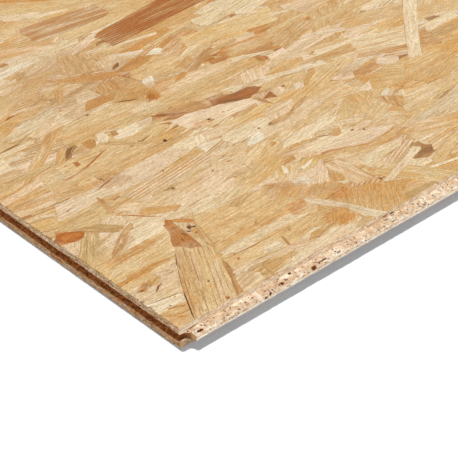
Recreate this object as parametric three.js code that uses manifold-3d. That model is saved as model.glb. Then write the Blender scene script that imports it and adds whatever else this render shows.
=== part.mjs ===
// A tongue and groove panel of oriented strand board (OSB), modelled lying flat.
//
// The board is pressed as one plain slab, then milled on all four edges: one long edge and one
// end carry a tongue, and the edges opposite them carry the groove that takes it. Each pair of
// edges is cut in one straight pass, so the whole board is what two milled sections, swept at
// right angles to each other, have in common. That is also what gives the real corners: the end
// groove runs out through the long tongue, and the two tongues meet in a full square.
//
// Millimetres. +X runs along the board, the way the surface strands lie, and +Z points up.
// The origin is the middle of the board's bottom, tongues counted in.

import * as THREE from "three";
import { mergeVertices } from "three/addons/utils/BufferGeometryUtils.js";
import Module from "manifold-3d";

// The area that one board covers once it is laid, which is also the size of its upper face.
const COVER_LENGTH = 2050;
const COVER_WIDTH = 675;
const THICKNESS = 18;

// The groove, which leaves an upper and a lower lip and narrows towards its floor.
const UPPER_LIP = 5.7;
const GROOVE_MOUTH = 6.8;
const GROOVE_FLOOR = 6;
const GROOVE_DEPTH = 9;
const GROOVE_FLOOR_RADIUS = 1.2;
const MOUTH_CHAMFER = 0.6;

// The lower lip stops short of the upper one, so that laid boards close up on the walked side.
const LOWER_LIP_SETBACK = 0.5;

// The tongue is the groove's own section less these clearances, with a rounded nose.
const SIDE_CLEARANCE = 0.2;
const NOSE_CLEARANCE = 1;
const NOSE_RADIUS = 1.8;
const ROOT_RADIUS = 0.5;

// The cutters leave a small arris along the top and bottom of every edge.
const ARRIS = 0.3;

const ARC_SEGMENTS = 6;

// How far each swept section runs past the board, so that it ends on no face of the other.
const OVERRUN = 10;

const WOOD_COLOUR = 0xd6b280;
const WOOD_ROUGHNESS = 0.72;

const TONGUE_REACH = GROOVE_DEPTH - NOSE_CLEARANCE;
const GROOVE_MIDDLE = THICKNESS - UPPER_LIP - GROOVE_MOUTH / 2;

/** Height of the groove at a depth measured in from the upper lip. */
function grooveHeight(depth) {
  return THREE.MathUtils.lerp(GROOVE_MOUTH, GROOVE_FLOOR, depth / GROOVE_DEPTH);
}

/** A corner of an outline. Its radius rounds it, and 0 leaves it sharp. */
function corner(x, y, radius = 0) {
  return { at: new THREE.Vector2(x, y), radius };
}

/** Draws the outline through the corners, turning each rounded one with a tangent arc. */
function roundedShape(corners) {
  const shape = new THREE.Shape();
  corners.forEach(({ at, radius }, i) => {
    const before = corners.at(i - 1).at;
    const after = corners[(i + 1) % corners.length].at;
    const draw = i === 0 ? "moveTo" : "lineTo";
    if (radius === 0) {
      shape[draw](at.x, at.y);
      return;
    }
    const back = before.clone().sub(at).normalize();
    const ahead = after.clone().sub(at).normalize();
    const halfAngle = Math.acos(THREE.MathUtils.clamp(back.dot(ahead), -1, 1)) / 2;
    const setback = radius / Math.tan(halfAngle);
    const start = at.clone().addScaledVector(back, setback);
    const end = at.clone().addScaledVector(ahead, setback);
    const toCentre = back.clone().add(ahead).setLength(radius / Math.sin(halfAngle));
    const centre = at.clone().add(toCentre);
    const fromAngle = Math.atan2(start.y - centre.y, start.x - centre.x);
    const toAngle = Math.atan2(end.y - centre.y, end.x - centre.x);
    const clockwise = back.cross(ahead) > 0;
    shape[draw](start.x, start.y);
    shape.absarc(centre.x, centre.y, radius, fromAngle, toAngle, clockwise);
  });
  return shape;
}

/** The grooved edge's corners from the lower face up to the upper, with its upper lip at x = `lip`. */
function groovedEdge(lip) {
  const lowerLip = lip + LOWER_LIP_SETBACK;
  const floor = lip + GROOVE_DEPTH;
  const mouthHalf = (GROOVE_MOUTH + MOUTH_CHAMFER) / 2;
  const upperThroatHalf = grooveHeight(MOUTH_CHAMFER) / 2;
  const lowerThroatHalf = grooveHeight(LOWER_LIP_SETBACK + MOUTH_CHAMFER) / 2;
  const floorHalf = GROOVE_FLOOR / 2;
  const floorRadius = Math.min(GROOVE_FLOOR_RADIUS, 0.8 * floorHalf);
  return [
    corner(lowerLip + ARRIS, 0),
    corner(lowerLip, ARRIS),
    corner(lowerLip, GROOVE_MIDDLE - mouthHalf),
    corner(lowerLip + MOUTH_CHAMFER, GROOVE_MIDDLE - lowerThroatHalf),
    corner(floor, GROOVE_MIDDLE - floorHalf, floorRadius),
    corner(floor, GROOVE_MIDDLE + floorHalf, floorRadius),
    corner(lip + MOUTH_CHAMFER, GROOVE_MIDDLE + upperThroatHalf),
    corner(lip, GROOVE_MIDDLE + mouthHalf),
    corner(lip, THICKNESS - ARRIS),
    corner(lip + ARRIS, THICKNESS),
  ];
}

/** The tongued edge's corners from the upper face down to the lower, with shoulders at x = `shoulder`. */
function tonguedEdge(shoulder) {
  const nose = shoulder + TONGUE_REACH;
  const rootHalf = grooveHeight(0) / 2 - SIDE_CLEARANCE;
  const noseHalf = grooveHeight(TONGUE_REACH) / 2 - SIDE_CLEARANCE;
  const noseRadius = Math.min(NOSE_RADIUS, 0.8 * noseHalf);
  return [
    corner(shoulder - ARRIS, THICKNESS),
    corner(shoulder, THICKNESS - ARRIS),
    corner(shoulder, GROOVE_MIDDLE + rootHalf, ROOT_RADIUS),
    corner(nose, GROOVE_MIDDLE + noseHalf, noseRadius),
    corner(nose, GROOVE_MIDDLE - noseHalf, noseRadius),
    corner(shoulder, GROOVE_MIDDLE - rootHalf, ROOT_RADIUS),
    corner(shoulder, ARRIS),
    corner(shoulder - ARRIS, 0),
  ];
}

/** The section that one pass mills: groove towards -x, tongue towards +x, centred on x = 0. */
function milledSection(cover) {
  const lip = -(cover + TONGUE_REACH) / 2;
  const edges = [...groovedEdge(lip), ...tonguedEdge(lip + cover)];
  return roundedShape(edges.reverse());
}

/** Sweeps a section evenly about the origin, with `right`, `up` and `along` as its axes. */
function sweep(section, length, right, up, along) {
  const geometry = new THREE.ExtrudeGeometry(section, {
    depth: length,
    bevelEnabled: false,
    curveSegments: ARC_SEGMENTS,
  });
  geometry.translate(0, 0, -length / 2);
  return geometry.applyMatrix4(new THREE.Matrix4().makeBasis(right, up, along));
}

/** Turns a closed three.js geometry into a solid that can be cut. */
function toSolid(wasm, geometry) {
  const bare = geometry.clone();
  bare.deleteAttribute("normal");
  bare.deleteAttribute("uv");
  const merged = mergeVertices(bare);
  return new wasm.Manifold(new wasm.Mesh({
    numProp: 3,
    vertProperties: new Float32Array(merged.attributes.position.array),
    triVerts: new Uint32Array(merged.index.array),
  }));
}

/** Turns a solid back into a three.js geometry. */
function toGeometry(solid) {
  const mesh = solid.getMesh();
  const geometry = new THREE.BufferGeometry();
  geometry.setAttribute("position", new THREE.BufferAttribute(mesh.vertProperties, mesh.numProp));
  geometry.setIndex(new THREE.BufferAttribute(mesh.triVerts, 1));
  geometry.computeVertexNormals();
  return geometry;
}

const wasm = await Module();
wasm.setup();

const alongX = new THREE.Vector3(1, 0, 0);
const alongY = new THREE.Vector3(0, 1, 0);
const up = new THREE.Vector3(0, 0, 1);

const sweptLength = COVER_LENGTH + TONGUE_REACH + 2 * OVERRUN;
const sweptWidth = COVER_WIDTH + TONGUE_REACH + 2 * OVERRUN;

// The long edges: groove at +Y and tongue at -Y.
const longEdges = sweep(
  milledSection(COVER_WIDTH), sweptLength, alongY.clone().negate(), up, alongX.clone().negate());

// The ends: groove at -X and tongue at +X.
const ends = sweep(
  milledSection(COVER_LENGTH), sweptWidth, alongX, up, alongY.clone().negate());

const board = toSolid(wasm, longEdges).intersect(toSolid(wasm, ends));

const panel = new THREE.Mesh(
  toGeometry(board),
  new THREE.MeshStandardMaterial({
    color: WOOD_COLOUR,
    roughness: WOOD_ROUGHNESS,
    metalness: 0,
  }));
panel.name = "osb_panel";

const osbPanel = new THREE.Group();
osbPanel.add(panel);

export default osbPanel;
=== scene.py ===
"""A tongue and groove strand board, lying flat: pressed strands, milled edges, studio and camera."""

import logging
import math
import random
from collections import defaultdict
from collections.abc import Callable
from dataclasses import dataclass, field, replace
from enum import Enum

import bmesh
import bpy
from mathutils import Matrix, Vector, noise
from mathutils.geometry import delaunay_2d_cdt


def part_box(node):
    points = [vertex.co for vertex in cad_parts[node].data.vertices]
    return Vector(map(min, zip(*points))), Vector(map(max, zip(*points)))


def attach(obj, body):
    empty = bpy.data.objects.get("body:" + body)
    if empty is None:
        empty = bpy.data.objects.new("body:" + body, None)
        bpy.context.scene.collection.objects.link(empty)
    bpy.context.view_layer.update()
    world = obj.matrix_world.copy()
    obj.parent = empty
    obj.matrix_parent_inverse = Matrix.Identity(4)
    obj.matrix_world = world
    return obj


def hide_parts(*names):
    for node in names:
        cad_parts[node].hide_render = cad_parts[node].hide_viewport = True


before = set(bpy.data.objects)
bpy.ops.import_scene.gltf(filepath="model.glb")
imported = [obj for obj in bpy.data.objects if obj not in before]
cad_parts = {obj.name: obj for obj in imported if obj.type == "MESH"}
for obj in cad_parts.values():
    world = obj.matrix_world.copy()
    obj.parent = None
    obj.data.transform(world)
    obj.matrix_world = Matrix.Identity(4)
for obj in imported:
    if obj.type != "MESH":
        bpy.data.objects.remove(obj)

MM = 0.001
NODE = "osb_panel"
log = logging.getLogger("strand_board")

Point = tuple[float, float]
Point3 = tuple[float, float, float]
Colour = tuple[float, float, float]


def linear(rgb: Colour) -> Colour:
    """Turns an sRGB colour out of 255 into scene-linear values.

    Args:
        rgb: red, green and blue from 0 to 255.

    Returns:
        The same colour as linear red, green and blue from 0 to 1.
    """
    def one(value: float) -> float:
        """Turns one channel linear."""
        part = value / 255
        return part / 12.92 if part <= 0.04045 else ((part + 0.055) / 1.055) ** 2.4

    return tuple(one(value) for value in rgb)


class Tone(Enum):
    """The colours of the strands, as sRGB values out of 255."""

    WHITE = (238, 226, 204)
    CREAM = (234, 212, 177)
    PINK = (233, 206, 176)
    PALE = (228, 199, 163)
    BLOND = (225, 205, 173)
    STRAW = (222, 190, 140)
    GRAINY = (218, 185, 137)
    TAN = (210, 171, 119)
    OLIVE = (192, 158, 106)
    HONEY = (213, 169, 112)
    AMBER = (204, 150, 86)
    ORANGE = (200, 136, 72)
    EMBER = (184, 104, 40)
    BROWN = (190, 142, 92)
    RUSSET = (183, 120, 64)
    BARK = (164, 104, 58)
    UMBER = (138, 98, 60)
    DARK = (88, 56, 34)

    @property
    def colour(self) -> Colour:
        """The tone in scene-linear values."""
        return linear(self.value)


class Grain(Enum):
    """How a strand's grain shows: strength of its ring lines, and their pitch in millimetres."""

    PLAIN = (0.0, 4.0)
    SOFT = (0.3, 4.5)
    LINED = (0.85, 3.9)
    FINE = (0.75, 2.6)
    RIBBED = (1.7, 3.3)


(WHITE, CREAM, PINK, PALE, BLOND, STRAW, GRAINY, TAN, OLIVE, HONEY, AMBER, ORANGE, EMBER, BROWN,
 RUSSET, BARK, UMBER, DARK) = Tone
PLAIN, SOFT, LINED, FINE, RIBBED = Grain


class Kind(Enum):
    """What an outline in the face is: a strand, or a flat mark on strands."""

    STRAND = 0
    MARK = 1


@dataclass(frozen=True)
class Strand:
    """One outline in a face of the board, in millimetres from the near corner, with its look."""

    outline: tuple[Point, ...]
    heading: float
    tone: Tone
    blush: Tone
    grain: Grain
    level: float
    rim: float = 0.3
    kind: Kind = Kind.STRAND
    seed: float = 0.5

    def inner(self, width: float) -> list[Point]:
        """Moves the outline inward, for the top of the strand inside its worn edge.

        Args:
            width: how far the edge slopes, in millimetres.

        Returns:
            The inner outline, one point for each point of the outline.
        """
        loop = [Vector(point) for point in self.outline]
        moved = []
        for before, here, after in zip(loop[-1:] + loop[:-1], loop, loop[1:] + loop[:1]):
            first = (here - before).orthogonal().normalized()
            second = (after - here).orthogonal().normalized()
            middle = first + second
            reach = width * 2 / max(middle.length_squared, 0.5)
            moved.append(here + middle * reach)
        return [(point.x, point.y) for point in moved]

    def box(self) -> tuple[float, float, float, float]:
        """Gives the lowest and highest x and y of the outline."""
        across, along = zip(*self.outline)
        return min(across), min(along), max(across), max(along)


@dataclass
class StrandMat:
    """The strands that one face of the board shows, from the lowest to the one on top."""

    length: float
    width: float
    seed: int
    layers: int = 2
    cell: Point = (62.0, 19.0)
    ground_scale: Point = (1.25, 1.6)
    strands: list[Strand] = field(default_factory=list)

    TONES = (
        (CREAM, 15), (PINK, 8), (PALE, 14), (BLOND, 8), (STRAW, 20),
        (GRAINY, 18), (TAN, 14), (HONEY, 10), (AMBER, 4), (WHITE, 2),
        (OLIVE, 3), (BROWN, 3), (ORANGE, 1), (RUSSET, 1),
    )
    # The rest are chances, lengths in millimetres and angles in degrees, as the draws take them.
    GRAIN_WEIGHTS = (52, 24, 10, 9, 5)
    RIMS = (0.1, 0.25, 0.45, 0.8)
    GROUND_LENGTHS = (70, 130)
    GROUND_WIDTHS = (22, 38)
    LENGTHS = (38, 135, 85)
    LEAST_WIDTH = 4.5
    WIDTH_SPAN = 30
    NARROWING = 2.1
    IN_LINE = 0.9
    SPREAD = 13
    CROSSWISE = (-70, 70)
    BOW = 0.012
    TAPER = (-0.22, 0.22)
    KINK = (-8, 8)
    WAVER = (-0.35, 0.35)
    SKEW = (-0.5, 0.5)
    GRAIN_SWAY = 3
    NARROW = 12
    LONGEST_TOOTH = 7.0
    TOOTH_SHARE = 0.35
    TOOTH_SHIFT = (-0.3, 0.3)
    TOOTH_REACH = (-0.6, 1)
    HEADROOM = 1.3

    def scatter(self) -> None:
        """Lays the pressed mat: a ground of broad strands, and then layers of mixed ones."""
        rng = random.Random(self.seed)
        coarse = (self.cell[0] * self.ground_scale[0], self.cell[1] * self.ground_scale[1])
        for layer in range(self.layers + 1):
            step = coarse if layer == 0 else self.cell
            rows = [
                (column, row)
                for column in range(-1, int(self.length / step[0]) + 2)
                for row in range(-1, int(self.width / step[1]) + 2)
            ]
            rng.shuffle(rows)
            for number, (column, row) in enumerate(rows):
                middle = ((column + rng.random()) * step[0], (row + rng.random()) * step[1])
                level = (layer + number / len(rows)) / (self.layers + self.HEADROOM)
                self.strands.append(self.loose_strand(rng, middle, level, layer == 0))

    def loose_strand(self, rng: random.Random, middle: Point, level: float, broad: bool) -> Strand:
        """Cuts one strand with straight sides and broken ends.

        Args:
            rng: the mat's random numbers.
            middle: where the strand lies, in millimetres.
            level: its height in the mat, from 0 to 1.
            broad: whether it is one of the broad strands of the ground.

        Returns:
            The strand.
        """
        if broad:
            length, width = rng.uniform(*self.GROUND_LENGTHS), rng.uniform(*self.GROUND_WIDTHS)
        else:
            length = rng.triangular(*self.LENGTHS)
            width = self.LEAST_WIDTH + self.WIDTH_SPAN * rng.random() ** self.NARROWING
        in_line = rng.random() < self.IN_LINE
        heading = rng.gauss(0, self.SPREAD) if in_line else rng.uniform(*self.CROSSWISE)
        bow = rng.gauss(0, self.BOW)
        taper = rng.uniform(*self.TAPER)
        half = length / 2
        sides = []
        for side in (-1, 1):
            edge = []
            for step in range(4):
                kink = rng.uniform(*self.KINK) if 0 < step < 3 else 0
                along = -half + length * step / 3 + kink
                across = side * width / 2 * (1 + taper * along / half)
                bowed = across + bow * (half * half - along * along) / half
                edge.append((along, bowed + rng.uniform(*self.WAVER)))
            sides.append(edge)
        ends = [self.broken_end(rng, width * (1 + way * taper)) for way in (1, -1)]
        far = [(half + out, across) for out, across in ends[0]]
        near = [(-half - out, -across) for out, across in ends[1]]
        skews = [rng.uniform(*self.SKEW) * width for _ in range(2)]
        sides[0][-1], sides[1][-1] = self.skewed(sides[0][-1], sides[1][-1], skews[0])
        sides[0][0], sides[1][0] = self.skewed(sides[0][0], sides[1][0], skews[1])
        loop = sides[0] + far + sides[1][::-1] + near
        turn = Matrix.Rotation(math.radians(heading), 2)
        spun = [turn @ Vector(point) for point in loop]
        tones, weights = zip(*self.TONES)
        tone, blush = rng.choices(tones, weights, k=2)
        grain = rng.choices(list(Grain), self.GRAIN_WEIGHTS)[0]
        return Strand(
            tuple((point.x + middle[0], point.y + middle[1]) for point in spun),
            heading + rng.gauss(0, self.GRAIN_SWAY), tone, blush, grain, level,
            rng.choice(self.RIMS), Kind.STRAND, rng.random(),
        )

    @staticmethod
    def skewed(low: Point, high: Point, skew: float) -> tuple[Point, Point]:
        """Slides a strand's two end corners apart, so that the end is cut at a slant."""
        return (low[0] - skew / 2, low[1]), (high[0] + skew / 2, high[1])

    def broken_end(self, rng: random.Random, width: float) -> list[Point]:
        """Breaks a strand's end into a few blunt teeth.

        Args:
            rng: the mat's random numbers.
            width: the strand's width there, in millimetres.

        Returns:
            Points as how far out and how far across, from one side to the other.
        """
        teeth = 2 if width < self.NARROW else 4
        depth = min(self.LONGEST_TOOTH, width * self.TOOTH_SHARE)
        steps = [
            (step + 1 + rng.uniform(*self.TOOTH_SHIFT)) / (teeth + 1) for step in range(teeth)]
        return [(rng.uniform(*self.TOOTH_REACH) * depth, width * (step - 0.5)) for step in steps]

    def lay(self, strands: list[Strand]) -> None:
        """Puts strands that have a set place on top of the scattered ones."""
        self.strands.extend(strands)


@dataclass
class Region:
    """A part of a face between two lengths, whose sides may be the board's own worn edges."""

    low: Point
    high: Point
    worn: tuple[bool, bool, bool, bool]
    fold: float
    arris: float = 0.3

    SNAP = 0.002
    ON_SIDE = 0.004

    def loop(self) -> list[Point]:
        """The region's rectangle."""
        (left, near), (right, far) = self.low, self.high
        return [(left, near), (right, near), (right, far), (left, far)]

    def folded_loop(self) -> list[Point]:
        """The rectangle up to the length where the flat map is folded."""
        return [(min(x, self.fold), y) for x, y in self.loop()]

    def worn_loop(self) -> list[Point]:
        """Takes the arris off the sides that are the board's edges.

        Returns:
            The rectangle inside it.
        """
        left, near, right, far = (self.arris * side for side in self.worn)
        low = (self.low[0] + left, self.low[1] + near)
        high = (self.high[0] - right, self.high[1] - far)
        return [low, (high[0], low[1]), high, (low[0], high[1])]

    def snapped(self, point: Vector) -> Vector:
        """Moves a point that is all but on one of the region's sides exactly onto it.

        Args:
            point: the point.

        Returns:
            The moved point.
        """
        sides = zip(point, self.low, self.high)
        return Vector([
            next((side for side in ends if abs(place - side) < self.SNAP), place)
            for place, *ends in sides
        ])

    def on_worn_side(self, point: Vector) -> bool:
        """Tells whether a point lies on one of the board's own edges.

        Args:
            point: the point.

        Returns:
            Whether it does.
        """
        gaps = (
            point.x - self.low[0], point.y - self.low[1],
            self.high[0] - point.x, self.high[1] - point.y,
        )
        return any(worn and abs(gap) < self.ON_SIDE for worn, gap in zip(self.worn, gaps))


@dataclass
class Patch:
    """A triangle of a face, in millimetres, with the strand it belongs to."""

    corners: tuple[int, int, int]
    owner: int
    sloped: bool
    worn: bool


class Overlay:
    """Lays outlines over each other in a plane and keeps only what is seen from above."""

    EPSILON = 0.0004
    RIM = 0.34
    STRAIGHT = 0.02
    LEVEL = 1e-3
    SUNK = 0.15
    UNSEEN = 0.5

    def __init__(self, region: Region, strands: list[Strand]) -> None:
        """Finds the seen part of every strand in the region.

        Args:
            region: the rectangle to fill.
            strands: the strands from the lowest to the top one.
        """
        self.region = region
        self.strands = [s for s in strands if self.meets(s)]
        self.points: list[Vector] = []
        self.patches: list[Patch] = []
        self.build(self.seen_edges())

    def meets(self, strand: Strand) -> bool:
        """Tells whether a strand's box meets the region.

        Args:
            strand: the strand.

        Returns:
            Whether it does.
        """
        left, near, right, far = strand.box()
        (low_x, low_y), (high_x, high_y) = self.region.low, self.region.high
        return right > low_x and left < high_x and far > low_y and near < high_y

    def seen_edges(self) -> dict[tuple[int, int], tuple]:
        """Overlays all outlines and keeps the edges between parts that differ.

        Returns:
            For each kept edge, both ways round, the label of the part on its left.
        """
        points: list[Vector] = []
        loops: list[list[int]] = []

        def add(loop: list[Point]) -> None:
            """Adds one outline."""
            loops.append(list(range(len(points), len(points) + len(loop))))
            points.extend(Vector(point) for point in loop)

        add(self.region.loop())
        add(self.region.worn_loop())
        add(self.region.folded_loop())
        self.label_of = dict.fromkeys(range(3), (-1, True))
        for number, strand in enumerate(self.strands):
            self.label_of[len(loops)] = (number, True)
            add(list(strand.outline))
            if strand.kind is not Kind.MARK:
                self.label_of[len(loops)] = (number, False)
                add(strand.inner(self.RIM))
        found, _, faces, _, _, origins = delaunay_2d_cdt(points, [], loops, 3, self.EPSILON, True)
        self.plane = [self.region.snapped(point) for point in found]
        left: dict[tuple[int, int], tuple] = {}
        for face, ids in zip(faces, origins):
            if 0 in ids:
                label = self.label_of[max(ids)] + (1 in ids, 2 in ids)
                for edge in zip(face, face[1:] + face[:1]):
                    left[edge] = label
        return {
            edge: label for edge, label in left.items()
            if left.get(edge[::-1]) != label
        }

    def straightened(self, left: dict[tuple[int, int], tuple]) -> dict[tuple[int, int], tuple]:
        """Drops the points that only split a straight line of the seen outlines.

        Args:
            left: the label on the left of each directed edge.

        Returns:
            The same for fewer, longer edges.
        """
        around: dict[int, set[int]] = defaultdict(set)
        for start, end in left:
            around[start].add(end)
            around[end].add(start)
        for point in list(around):
            ends = around[point]
            if len(ends) != 2:
                continue
            first, last = ends
            here = self.plane[point]
            a, b = self.plane[first] - here, self.plane[last] - here
            if last in around[first] or a.dot(b) > 0:
                continue
            if abs(a.cross(b)) > self.STRAIGHT * (a - b).length:
                continue
            if self.region.on_worn_side(here) and not self.level_with(here, first, last):
                continue
            for start, end in ((first, last), (last, first)):
                label = left.pop((start, point), None)
                left.pop((point, end), None)
                if label is not None:
                    left[(start, end)] = label
            around[first].discard(point)
            around[last].discard(point)
            around[first].add(last)
            around[last].add(first)
            del around[point]
        return left

    def level_with(self, here: Vector, first: int, last: int) -> bool:
        """Whether a point on the region's side lies between two others on the same side."""
        ends = (self.plane[first], self.plane[last])
        return any(all(abs(end[axis] - here[axis]) < self.LEVEL for end in ends) for axis in (0, 1))

    def build(self, seen: dict[tuple[int, int], tuple]) -> None:
        """Fills the seen outlines with triangles, each with its strand.

        Args:
            seen: the label on the left of each directed edge.
        """
        seen = self.straightened(seen)
        used = sorted({point for edge in seen for point in edge})
        place = {point: number for number, point in enumerate(used)}
        left = {(place[a], place[b]): label for (a, b), label in seen.items()}
        edges = sorted({tuple(sorted(edge)) for edge in left})
        found, _, faces, origins, _, _ = delaunay_2d_cdt(
            [self.plane[point] for point in used], edges, [], 1, self.EPSILON, True)
        came_from = [ids[0] if ids else -1 for ids in origins]
        labels: list = [None] * len(faces)
        beside: dict[tuple[int, int], int] = {}
        for number, face in enumerate(faces):
            for a, b in zip(face, face[1:] + face[:1]):
                beside[(a, b)] = number
                known = left.get((came_from[a], came_from[b]))
                if known is not None:
                    labels[number] = known
        walls = set()
        for (a, b), number in beside.items():
            key = (came_from[a], came_from[b])
            if key in left or key[::-1] in left:
                walls.add((a, b))
        queue = [number for number, label in enumerate(labels) if label is not None]
        while queue:
            number = queue.pop()
            face = faces[number]
            for a, b in zip(face, face[1:] + face[:1]):
                other = beside.get((b, a))
                if other is not None and labels[other] is None and (a, b) not in walls:
                    labels[other] = labels[number]
                    queue.append(other)
        self.points = found
        self.patches = [
            Patch(tuple(face), label[0], label[1], not label[2])
            for face, label in zip(faces, labels) if label is not None
        ]

    def heights(self, relief: float) -> list[float]:
        """Works out how far below the face each point lies.

        Args:
            relief: the depth between the lowest and the highest strand, in millimetres.

        Returns:
            A depth in millimetres for each point, 0 at the highest strand.
        """
        tops: dict[int, float] = {}
        sides: dict[int, float] = {}
        for patch in self.patches:
            level = self.strands[patch.owner].level if patch.owner >= 0 else 0.0
            mark = patch.owner >= 0 and self.strands[patch.owner].kind is Kind.MARK
            for corner in patch.corners:
                if not patch.sloped:
                    tops[corner] = max(tops.get(corner, level), level)
                elif not mark:
                    sides[corner] = min(sides.get(corner, level), level)
        result = []
        for number, point in enumerate(self.points):
            level = tops.get(number, sides.get(number, self.UNSEEN) - self.SUNK)
            depth = relief * (1 - level)
            if self.region.on_worn_side(point):
                depth = self.region.arris
            result.append(depth)
        return result


BARE = Strand(((0.0, 0.0),), 0.0, BROWN, UMBER, SOFT, 0.0)


def numbers(text: str) -> tuple[float, ...]:
    """Reads numbers with commas between them."""
    return tuple(float(part) for part in text.split(","))


def outline(text: str) -> tuple[Point, ...]:
    """Reads an outline written as x,y pairs in millimetres."""
    return tuple(numbers(pair) for pair in text.split())


@dataclass
class NearCorner:
    """The strands that lie round the board's near corner, each in its own place."""

    strands: list[Strand] = field(default_factory=list)
    low: float = 0.84
    high: float = 1.0
    shift: Point = (-0.5, -0.8)
    knot_corners: int = 9
    knot_sizes: Point = (0.75, 1.2)
    pointed: float = 0.25
    golden: float = 0.618

    def strand(self, tone: Tone, blush: Tone, heading: float, points: str,
               rim: float = 0.4, grain: Grain = SOFT) -> None:
        """Lays one strand.

        Args:
            tone: its main colour.
            blush: the colour of its streaks.
            heading: the grain's angle from the board's length, in degrees.
            points: its outline as x,y pairs.
            rim: how dark its edge is.
            grain: how its grain shows.
        """
        self.add(Strand(outline(points), heading, tone, blush, grain, 0.0, rim))

    def dark_line(self, tone: Tone, width: float, points: str) -> None:
        """Draws a thin dark line: a painted shadow along a strand's edge, or a split.

        Args:
            tone: its colour.
            width: its width in the middle, in millimetres.
            points: the line's points as x,y pairs.
        """
        line = [Vector(point) for point in outline(points)]
        sides: list[list[Point]] = [[], []]
        for number, here in enumerate(line):
            before, after = line[max(0, number - 1)], line[min(len(line) - 1, number + 1)]
            share = 1.0 if 0 < number < len(line) - 1 else self.pointed
            across = (after - before).orthogonal().normalized() * width * share / 2
            sides[0].append(tuple(here - across))
            sides[1].append(tuple(here + across))
        heading = math.degrees(math.atan2(*(line[-1] - line[0]).yx))
        shape = tuple(sides[0] + sides[1][::-1])
        self.add(Strand(shape, heading, tone, tone, PLAIN, 0.0, 0.0, Kind.MARK))

    def knots(self, tone: Tone, spots: str) -> None:
        """Puts small spots on the strands.

        Args:
            tone: their colour.
            spots: each one's x, y, length and width in millimetres, and the angle of its length in
                degrees where it has one.
        """
        for spot in spots.split():
            x, y, long, wide, *turned = numbers(spot)
            heading = sum(turned)
            rng = random.Random(int(x * 31 + y * 17))
            turn = Matrix.Rotation(math.radians(heading), 2)
            shape = []
            for corner in range(self.knot_corners):
                angle = math.tau * corner / self.knot_corners
                size = rng.uniform(*self.knot_sizes) / 2
                out = turn @ Vector((math.cos(angle) * long * size, math.sin(angle) * wide * size))
                shape.append((x + out.x, y + out.y))
            self.add(Strand(tuple(shape), heading, tone, tone, PLAIN, 0.0, 0.0, Kind.MARK))

    def add(self, strand: Strand) -> None:
        """Adds an outline in its place, turned the right way round and with a wood of its own.

        Args:
            strand: the outline and its look.
        """
        shape = tuple((x + self.shift[0], y + self.shift[1]) for x, y in strand.outline)
        doubled = sum(a[0] * b[1] - b[0] * a[1] for a, b in zip(shape, shape[1:] + shape[:1]))
        seed = (len(self.strands) * self.golden) % 1
        shape = shape if doubled > 0 else shape[::-1]
        self.strands.append(replace(strand, outline=shape, seed=seed))

    def finished(self) -> list[Strand]:
        """Gives each strand its height.

        Returns:
            The strands, each a little higher than the one before, with the marks on top.
        """
        span = (self.high - self.low) / max(1, len(self.strands))
        ordered = sorted(self.strands, key=lambda strand: strand.kind is Kind.MARK)
        levels = (self.low + span * number for number in range(len(ordered)))
        return [replace(strand, level=level) for strand, level in zip(ordered, levels)]

    def lay(self) -> list[Strand]:
        """Lays everything from the lowest strand to the top one.

        Returns:
            The strands, for the upper face.
        """
        self.lay_ground()
        self.lay_corner()
        self.lay_long_side()
        self.lay_middle()
        self.lay_far()
        return self.finished()

    def lay_ground(self) -> None:
        """Lays the broad quiet strands that the others rest on."""
        lay = self.strand
        lay(GRAINY, PALE, 6, "92,126 120,124 152,132 160,146 120,147 94,142")
        lay(CREAM, GRAINY, 4, "146,168 172,166 176,184 150,186 140,178")
        lay(CREAM, PALE, 6, "192,152 236,150 240,162 236,176 200,174 188,164")
        lay(STRAW, TAN, 4, "0,84 30,86 70,90 74,108 40,108 0,100")
        lay(PALE, STRAW, 2, "60,120 100,112 150,118 190,128 190,142 130,138 80,136 58,132")
        lay(CREAM, PINK, 6, "40,108 78,108 100,112 92,118 74,120 56,124 48,116")
        lay(GRAINY, TAN, 12, "190,120 250,122 300,140 290,152 230,146 190,138")
        lay(PALE, CREAM, 8, "200,140 260,142 300,152 340,158 330,166 270,160 210,152")
        lay(STRAW, TAN, 5, "170,170 260,168 300,176 290,186 220,182 175,182")
        lay(GRAINY, CREAM, 20, "300,100 340,108 360,120 352,136 320,134 300,120")
        lay(STRAW, HONEY, -30, "340,136 372,128 398,152 380,160 350,150")
        lay(TAN, STRAW, 2, "40,194 80,196 150,194 190,196 190,204 120,206 60,204 44,202")
        lay(STRAW, GRAINY, 3, "60,206 130,208 170,212 165,222 110,226 62,222")
        lay(STRAW, TAN, 2, "90,234 140,232 210,236 310,238 305,246 200,248 92,246")
        lay(GRAINY, HONEY, 1, "88,244 200,244 310,244 300,254 200,256 94,256")
        lay(STRAW, PALE, 1, "96,254 190,252 186,264 150,270 104,268")
        lay(PALE, GRAINY, -4, "200,250 280,252 290,262 240,268 204,270")
        lay(CREAM, PALE, 3, "108,268 160,270 150,286 118,290 108,284")
        lay(TAN, HONEY, 8, "162,272 196,262 204,272 200,290 196,304 170,304 164,288", grain=PLAIN)
        lay(STRAW, HONEY, 5, "204,284 250,280 262,292 240,312 208,306 200,296")
        lay(GRAINY, TAN, 70, "160,338 190,322 206,330 214,342 190,362 178,372 166,356")

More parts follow.
